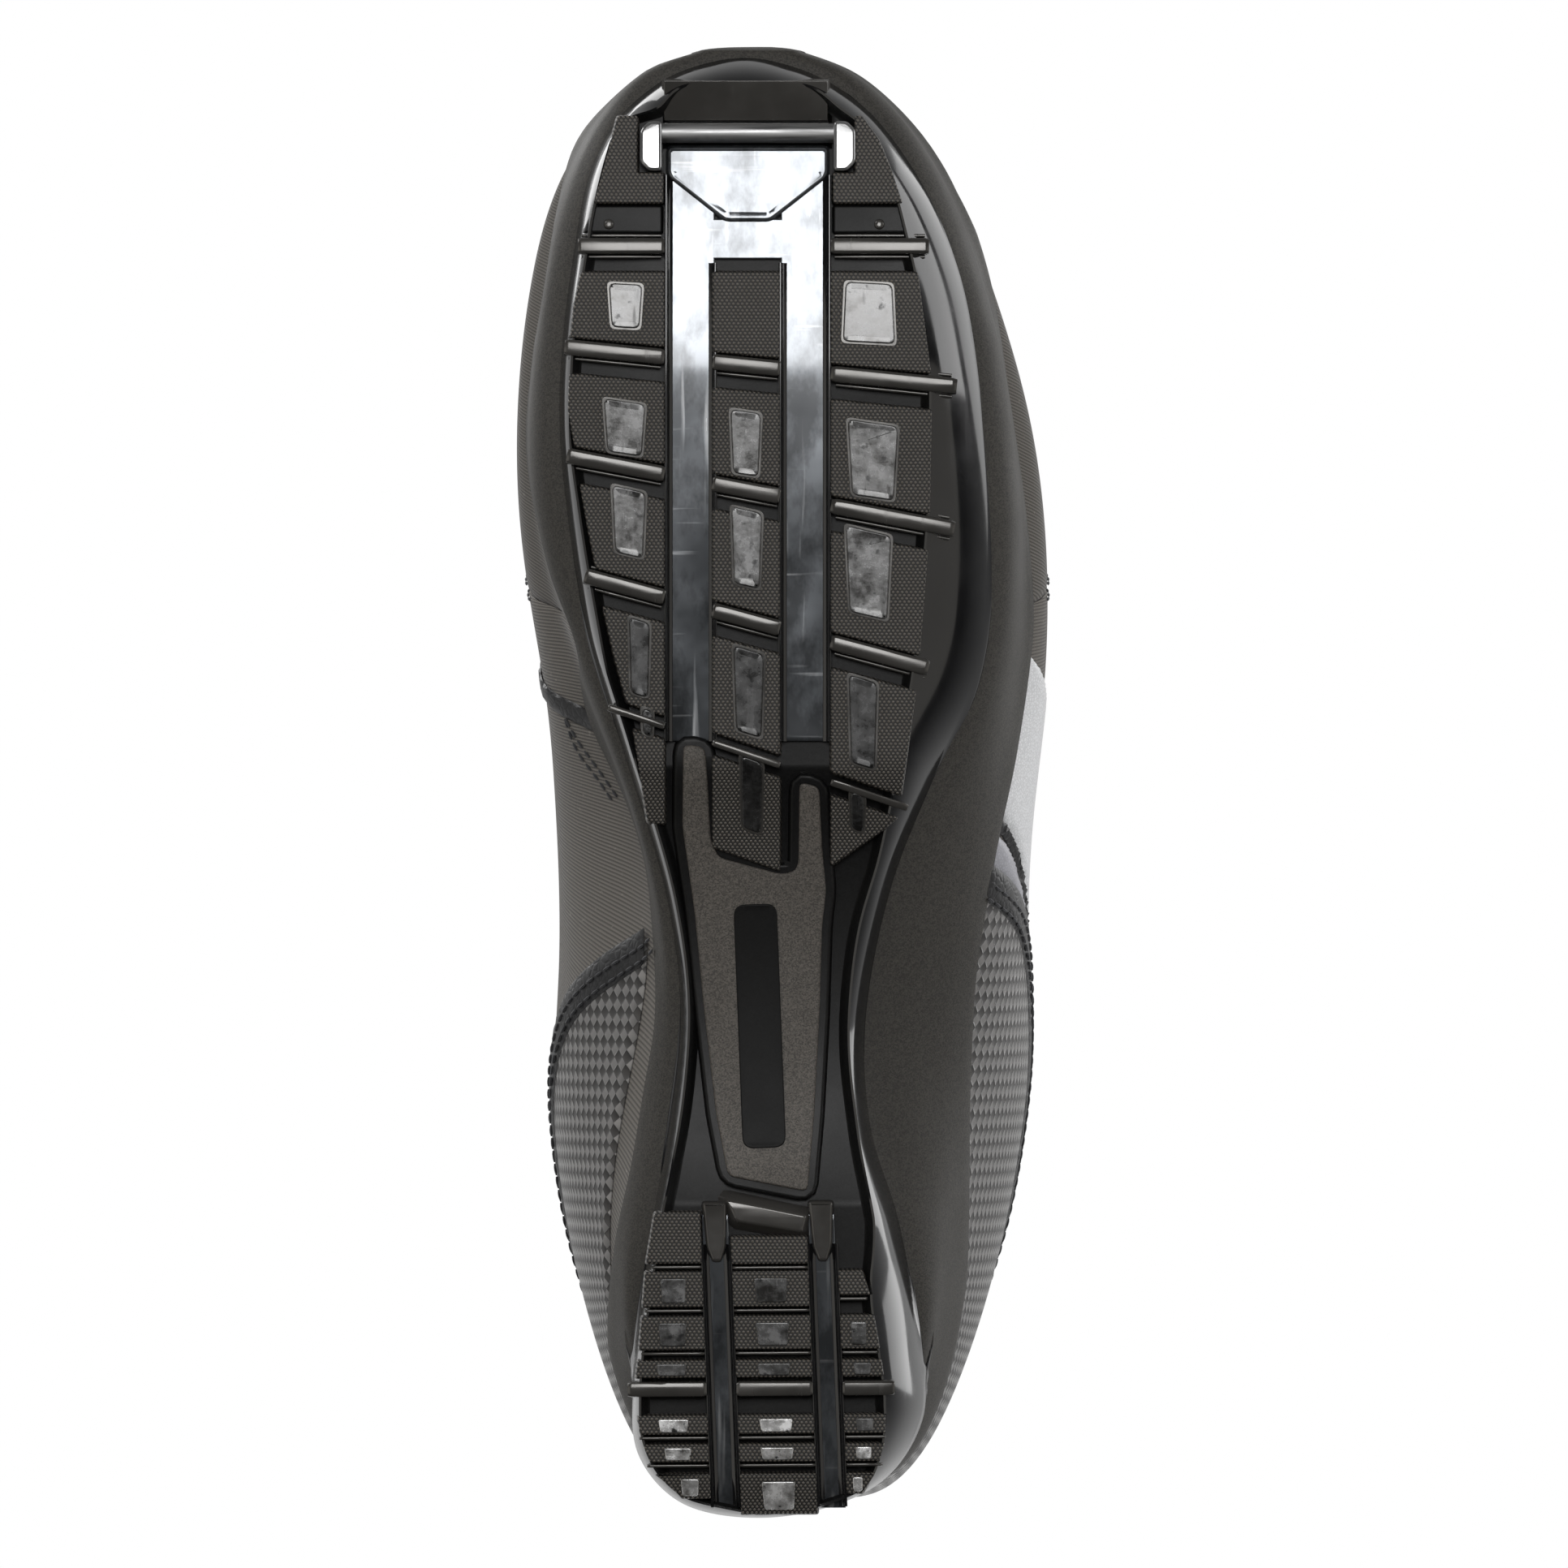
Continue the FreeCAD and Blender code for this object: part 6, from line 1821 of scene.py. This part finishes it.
def make_cover():
    """The softshell cover over the laces: a hem sewn down all round, a swollen roof, a slot for the zip."""
    x, along, _ = zip_coordinates()
    outline, half = round_corners(COVER, 7, 5), 24.0
    hem = both(polygon_distance(Y, Z, outline), half - np.abs(X), Z - 62)
    slot = both(3.3 - np.abs(x), ZIP_LENGTH / 2 + 4 - np.abs(along))
    sheet = Sheet(both(hem, -slot))
    hem_there = polygon_distance(sheet.points[:, 1], sheet.points[:, 2], outline)
    hem_there = np.minimum(hem_there, half - np.abs(sheet.points[:, 0]))
    lift = 2.55 * smoothstep((hem_there - 1.8) / 3.6)
    # a soft ripple along the hem, where the stretch fabric is gathered by the stitching
    ripple = 0.12 * np.sin(sheet.surface[:, 1] * 1.9) * (1 - smoothstep((hem_there - 1) / 5))
    level = 0.15 + lift + ripple
    outer = sheet.points + sheet.outward * (level + 1.2)[:, None]
    inner = sheet.points + sheet.outward * level[:, None]
    rim = 1 - smoothstep(sheet.field / 0.7)
    outer -= sheet.outward * (0.5 * rim)[:, None]
    obj = sheet.closed("lace_cover_fabric", outer, inner, [M_COVER], 42)
    finish_piece(obj, "boot", "cover_softshell", "lace_cover")
    build = Build()
    for side in (-1, 1):
        points = [zip_point(side * 4.6, a, 3.75) for a in np.linspace(-TAPE_HALF, TAPE_HALF, 30)]
        stitch_row(build, points, 2.6, 0.7, 0.26)
    finish_piece(build.object("cover_stitching", [M_THREAD]), "boot", None)


def woven_ribbon(name, node, low_x, high_x, slot):
    """A zip tape: a thin ribbon with a corded edge, in the zip's frame."""
    # the tape's cross-section as (x, height over the ridge)
    section = [
        (low_x, 2.9), (high_x, 2.95), (high_x, 3.3), (high_x - 0.2, 3.42),
        (low_x + 0.5, 3.36), (low_x + 0.25, 3.5), (low_x, 3.42),
    ]
    steps = 60
    rings = []
    for i in range(steps + 1):
        along = -TAPE_HALF + 2 * TAPE_HALF * i / steps
        rings.append([zip_point(x, along, up) for x, up in section])
    build = Build()
    build.rings(rings)
    obj = build.object(name, [M_WEBBING], True)
    finish_piece(obj, "boot", slot, node)


def make_zip():
    woven_ribbon("lateral_tape_ribbon", "lateral_zip_tape", 1.6, 3.15, "webbing")
    woven_ribbon("medial_tape_ribbon", "medial_zip_tape", -3.15, -1.6, "webbing")
    use_cad_mesh("zip_teeth", M_ZIP)
    use_cad_mesh("zip_slider", M_METAL)
    use_cad_mesh("zip_pull", M_ZIP)


STRAP_TILT = math.radians(20)
STRAP_AXIS = Vector((0, math.sin(STRAP_TILT), math.cos(STRAP_TILT)))
STRAP_BACK = Vector((0, math.cos(STRAP_TILT), -math.sin(STRAP_TILT)))
STRAP_FRONT = Vector((0, 8, 129))
STRAP_JOINT = next(j for j in frame["record"]["behaviour"]["joints"] if "strap" in j["name"])
HINGE = Vector([c / MM for c in STRAP_JOINT["pos_m"]])
HINGE_ALONG, RING_GAP = 22.0, 6.2


def strap_coordinates(points):
    rel = points - np.array(STRAP_FRONT)
    return rel @ np.array(STRAP_BACK), rel @ np.array(STRAP_AXIS)


def strap_relief(sheet):
    """Woven ridges along both edges of the webbing."""
    _, across = strap_coordinates(sheet.points)
    return 0.22 * smoothstep((np.abs(across) - 11.6) / 1.2) * (1 - smoothstep((np.abs(across) - 13.6) / 0.8))


def sleeve(centre, towards, length):
    """The webbing folded round a bar of the ring: a closed roll."""
    out = towards.cross(STRAP_AXIS).normalized()
    if out.x < 0:
        out = -out
    radius, steps, sides = 2.2, 12, 18
    rings = []
    for i in range(steps + 1):
        middle = centre + STRAP_AXIS * (-length / 2 + length * i / steps)
        r = radius if 0 < i < steps else radius * 0.93
        turns = [2 * math.pi * k / sides for k in range(sides)]
        rings.append([middle + towards * (math.cos(a) * r) + out * (math.sin(a) * r) for a in turns])
    build = Build()
    build.rings(rings)
    return build


def cross_stitched_box(build, side, along0, along1, half, lift):
    """A box of stitches with a cross in it, where webbing is sewn down."""

    def at(along, across):
        base = STRAP_FRONT + STRAP_BACK * along + STRAP_AXIS * across
        return on_surface(base.y, base.z, side, lift)

    corners = [(along0, -half), (along1, -half), (along1, half), (along0, half)]
    lines = list(zip(corners, corners[1:] + corners[:1]))
    lines += [(corners[0], corners[2]), (corners[3], corners[1])]
    for (a0, c0), (a1, c1) in lines:
        path = [at(a0 + (a1 - a0) * t / 8, c0 + (c1 - c0) * t / 8) for t in range(9)]
        path = [p for p in path if p is not None]
        if len(path) > 2:
            stitch_row(build, path, 2.6, 0.7, 0.27)


def make_strap():
    along, across = strap_coordinates(LAST)
    half = 15.0
    band = both(half - np.abs(across), np.where(X > 0, HINGE_ALONG - 1.2, 30.0) - along)
    sheet = Sheet(band)
    obj = sheet.solid("ankle_strap_band", [M_STRAP], 1.85, 1.35, 0.9, 0.6, strap_relief)
    finish_piece(obj, "ankle_strap", "strap_webbing", "ankle_strap")
    towards = (STRAP_BACK * (RING_GAP * 0.985) + Vector((0.35, 0, 0))).normalized()
    fold = sleeve(HINGE, towards, 2 * half - 0.6).object("ankle_strap_fold", [M_STRAP], True)
    finish_piece(fold, "ankle_strap", "strap_webbing")
    fold = sleeve(anchor_from_ring(), towards, 2 * half - 0.6).object("strap_anchor_fold", [M_STRAP], True)
    finish_piece(fold, "boot", "strap_webbing")
    rear = both(half - np.abs(across), along - HINGE_ALONG - RING_GAP - 1.2, 56 - along, X - 1)
    obj = Sheet(rear).solid("strap_anchor_band", [M_STRAP], 1.85, 1.35, 0.9, 0.6, strap_relief)
    finish_piece(obj, "boot", "strap_webbing", "strap_anchor")
    hook = both(half - 2.5 - np.abs(across), along - 10, 29 - along, -X)
    obj = Sheet(hook).solid("strap_hook_pad", [M_HOOK], 1.4, 0.4, 0.4, 0.5)
    finish_piece(obj, "ankle_strap", "hook_tape", "strap_hook_patch")
    loop = both(half - 1 - np.abs(across), along - 8, 40 - along, -X)
    obj = Sheet(loop).solid("strap_loop_pad", [M_HOOK], 0.15, 1.0, 0.6, 0.6)
    finish_piece(obj, "boot", "hook_tape", "strap_loop_patch")
    build = Build()
    cross_stitched_box(build, 1, HINGE_ALONG - 13, HINGE_ALONG - 3, 11.5, 3.35)
    cross_stitched_box(build, -1, 12, 27, 11.5, 3.35)
    finish_piece(build.object("strap_stitching", [M_THREAD]), "ankle_strap", None)
    build = Build()
    cross_stitched_box(build, 1, 40, 53, 11.5, 3.35)
    finish_piece(build.object("anchor_stitching", [M_THREAD]), "boot", None)
    use_cad_mesh("strap_ring", M_METAL)


def anchor_from_ring():
    """The middle of the ring's rear bar: the far end of the ring's box along the strap."""
    low, high = box_mm("strap_ring")
    middle = (low + high) / 2
    return HINGE + (middle - HINGE) * 2


def make_heel_loop():
    """A webbing loop at the back of the cuff: both ends sewn to the cuff, the middle standing clear of it."""
    low, high = box_mm("heel_pull_loop")
    half = (high.x - low.x) / 2 - 0.8
    near, far = [], []
    for z in np.linspace(low.z - 2, high.z - 5, 12):
        hit = LAST_TREE.ray_cast(Vector((0, 200, z)), Vector((0, -1, 0)))
        near.append((hit[0].y + 0.7, float(z)))
        swing = math.sin(math.pi * (z - low.z + 2) / (high.z - low.z))
        far.append((hit[0].y + 1.9 + 3.6 * max(swing, 0) ** 0.8, float(z)))
    top_near, top_far = near[-1], far[-1]
    middle, reach = (top_near[0] + top_far[0]) / 2, (top_far[0] - top_near[0]) / 2
    bend = []
    for k in range(1, 12):
        angle = math.pi * k / 12
        bend.append((middle - reach * math.cos(angle), top_near[1] + 2.6 * math.sin(angle)))
    path = near + bend + far[::-1]
    section = [(-half, -0.5), (half, -0.5), (half + 0.3, 0), (half, 0.5), (-half, 0.5), (-half - 0.3, 0)]
    points, run, uv = [], 0.0, []
    for i, (y, z) in enumerate(path):
        y0, z0 = path[max(i - 1, 0)]
        y1, z1 = path[min(i + 1, len(path) - 1)]
        length = math.hypot(y1 - y0, z1 - z0) or 1
        ny, nz = -(z1 - z0) / length, (y1 - y0) / length
        for x, off in section:
            points.append((x, y + ny * off, z + nz * off))
            uv.append((x, run))
        run += length / 2
    count, sides = len(path), len(section)
    faces = band_faces(count, sides)
    faces.append(list(range(sides)))
    faces.append([(count - 1) * sides + i for i in range(sides)][::-1])
    obj = new_object("pull_loop_webbing", points, faces, [M_WEBBING], None, uv, 50)
    fix_normals(obj)
    finish_piece(obj, "boot", "webbing", "heel_pull_loop")
    build = Build()
    for z in (low.z - 0.6, low.z + 4.5):
        hit = LAST_TREE.ray_cast(Vector((0, 200, z)), Vector((0, -1, 0)))
        line = [(x, hit[0].y + 2.7, z) for x in np.linspace(-half + 0.5, half - 0.5, 6)]
        stitch_row(build, line, 2.2, 0.7, 0.28)
    finish_piece(build.object("pull_loop_stitching", [M_THREAD]), "boot", None)


def make_heel_cup():
    """The sole's glossy plastic, drawn up round the back of the heel over the rand."""
    high = polyline([(100, 25.5), (118, 29), (130, 35.5), (160, 39)], Y)
    field = both(Y - 108, high - Z, Z - 25)
    obj = Sheet(field).solid("heel_cup_skin", [M_BODY], 0.3, 1.7, 1.4, 0.8)
    finish_piece(obj, "boot", "sole_plastic")


make_shell()
make_inner_layers()
make_collar()
make_rand()
make_heel_cup()
make_heel_panels()
make_stripes()
make_eyestays()
make_laces()
make_cover()
make_zip()
make_strap()
make_heel_loop()
make_seams()
use_cad_mesh("binding_bar", M_STEEL)


# ---------------------------------------------------------------------------------------------
# Stage: floor, lights and camera
# ---------------------------------------------------------------------------------------------


def stage_floor():
    """A plain pale floor. The camera is underneath, so only its upper face shows, and only to the camera."""
    half = 1.5
    mesh = bpy.data.meshes.new("floor")
    corners = [(-half, -half, -0.0006), (half, -half, -0.0006), (half, half, -0.0006), (-half, half, -0.0006)]
    mesh.from_pydata(corners, [], [(0, 1, 2, 3)])
    floor = bpy.data.objects.new("floor", mesh)
    bpy.context.scene.collection.objects.link(floor)
    material = bpy.data.materials.new("floor_pale")
    material.use_nodes = True
    nodes, links = material.node_tree.nodes, material.node_tree.links
    nodes.clear()
    out = nodes.new("ShaderNodeOutputMaterial")
    pale = nodes.new("ShaderNodeBsdfDiffuse")
    pale.inputs["Color"].default_value = (0.86, 0.86, 0.86, 1)
    clear = nodes.new("ShaderNodeBsdfTransparent")
    path = nodes.new("ShaderNodeLightPath")
    face = nodes.new("ShaderNodeNewGeometry")
    front = nodes.new("ShaderNodeMath")
    front.operation = "SUBTRACT"
    links.new(path.outputs["Is Camera Ray"], front.inputs[0])
    links.new(face.outputs["Backfacing"], front.inputs[1])
    front.use_clamp = True
    mix = nodes.new("ShaderNodeMixShader")
    links.new(front.outputs[0], mix.inputs[0])
    links.new(clear.outputs[0], mix.inputs[1])
    links.new(pale.outputs[0], mix.inputs[2])
    links.new(mix.outputs[0], out.inputs["Surface"])
    mesh.materials.append(material)


def soft_light(name, place_m, aim_m, size_m, watts, colour=(1, 1, 1)):
    data = bpy.data.lights.new(name, "AREA")
    data.shape = "RECTANGLE"
    data.size, data.size_y = size_m
    data.energy = watts
    data.color = colour
    light = bpy.data.objects.new(name, data)
    light.location = place_m
    light.rotation_euler = (Vector(aim_m) - Vector(place_m)).to_track_quat("-Z", "Y").to_euler()
    light.visible_camera = False
    bpy.context.scene.collection.objects.link(light)


def studio_world():
    """White to the camera. For everything else: bright above, where the backdrop is, and dim below."""
    world = bpy.data.worlds.new("studio")
    bpy.context.scene.world = world
    world.use_nodes = True
    nodes, links = world.node_tree.nodes, world.node_tree.links
    nodes.clear()
    out = nodes.new("ShaderNodeOutputWorld")
    background = nodes.new("ShaderNodeBackground")
    background.inputs["Color"].default_value = (1, 1, 1, 1)
    place = nodes.new("ShaderNodeTexCoord")
    split = nodes.new("ShaderNodeSeparateXYZ")
    ramp = nodes.new("ShaderNodeMapRange")
    ramp.inputs["From Min"].default_value = -0.1
    ramp.inputs["From Max"].default_value = 0.7
    ramp.inputs["To Min"].default_value = 0.03
    ramp.inputs["To Max"].default_value = 0.6
    path = nodes.new("ShaderNodeLightPath")
    mix = nodes.new("ShaderNodeMix")
    links.new(place.outputs["Generated"], split.inputs[0])
    links.new(split.outputs["Z"], ramp.inputs["Value"])
    links.new(path.outputs["Is Camera Ray"], mix.inputs["Factor"])
    links.new(ramp.outputs["Result"], mix.inputs["A"])
    mix.inputs["B"].default_value = 1.0
    links.new(mix.outputs["Result"], background.inputs["Strength"])
    links.new(background.outputs[0], out.inputs["Surface"])


def photo_camera():
    """Straight up at the sole from below, toe at the top of the frame."""
    bpy.context.scene.view_settings.view_transform = "Standard"
    data = bpy.data.cameras.new("camera")
    data.sensor_width = 36.0
    distance, frame_width = 2.5, 0.3155
    data.lens = data.sensor_width * distance / frame_width
    data.clip_start, data.clip_end = 0.05, 20.0
    camera = bpy.data.objects.new("camera", data)
    camera.location = (0.0003, -0.0006, -distance)
    camera.rotation_euler = (math.pi, 0, 0)
    bpy.context.scene.collection.objects.link(camera)
    bpy.context.scene.camera = camera


def softbox(degrees_low, degrees_high, watts, name):
    """A softbox below the toe, seen from the sole between two angles from straight down."""
    distance, width = 2.0, 0.7
    middle = math.radians((degrees_low + degrees_high) / 2)
    height = 2 * distance * math.tan(math.radians(degrees_high - degrees_low) / 2)
    aim = (0.0, -0.08, 0.02)
    place = (0.0, aim[1] - distance * math.sin(middle), aim[2] - distance * math.cos(middle))
    soft_light(name, place, aim, (width, height), watts)


WARM = (1.0, 0.96, 0.89)
stage_floor()
studio_world()
photo_camera()
softbox(4.6, 26.0, 17.0, "softbox_toe")
softbox(1.7, 4.6, 0.4, "softbox_fade_1")
softbox(0.9, 1.7, 0.045, "softbox_fade_2")
softbox(0.35, 0.9, 0.01, "softbox_fade_3")
soft_light("toe_edge_left", (-1.6, -1.3, -0.15), (-0.03, -0.12, 0.02), (1.0, 1.3), 16.0)
soft_light("toe_edge_right", (1.9, -0.75, -0.15), (0.03, -0.1, 0.02), (1.0, 1.2), 14.0)
soft_light("heel_edge_right", (1.5, 1.2, -0.1), (0.02, 0.13, 0.02), (0.5, 0.5), 2.4)
soft_light("heel_edge_left", (-1.7, 0.9, -0.1), (-0.02, 0.12, 0.02), (0.4, 0.5), 1.0)
soft_light("low_left", (-1.9, 0.3, -1.5), (0, 0.0, 0.03), (1.6, 2.2), 9.0, WARM)
soft_light("low_right", (1.9, 0.3, -1.5), (0, 0.0, 0.03), (1.6, 2.2), 6.5, WARM)
soft_light("key_above", (-1.6, -1.4, 2.0), (0, 0, 0.08), (1.6, 1.6), 24.0)
soft_light("fill_above", (1.9, -0.6, 1.4), (0, 0, 0.08), (1.4, 1.4), 12.0)
soft_light("back_above", (0.4, 2.0, 1.5), (0, 0, 0.08), (1.6, 1.2), 14.0)
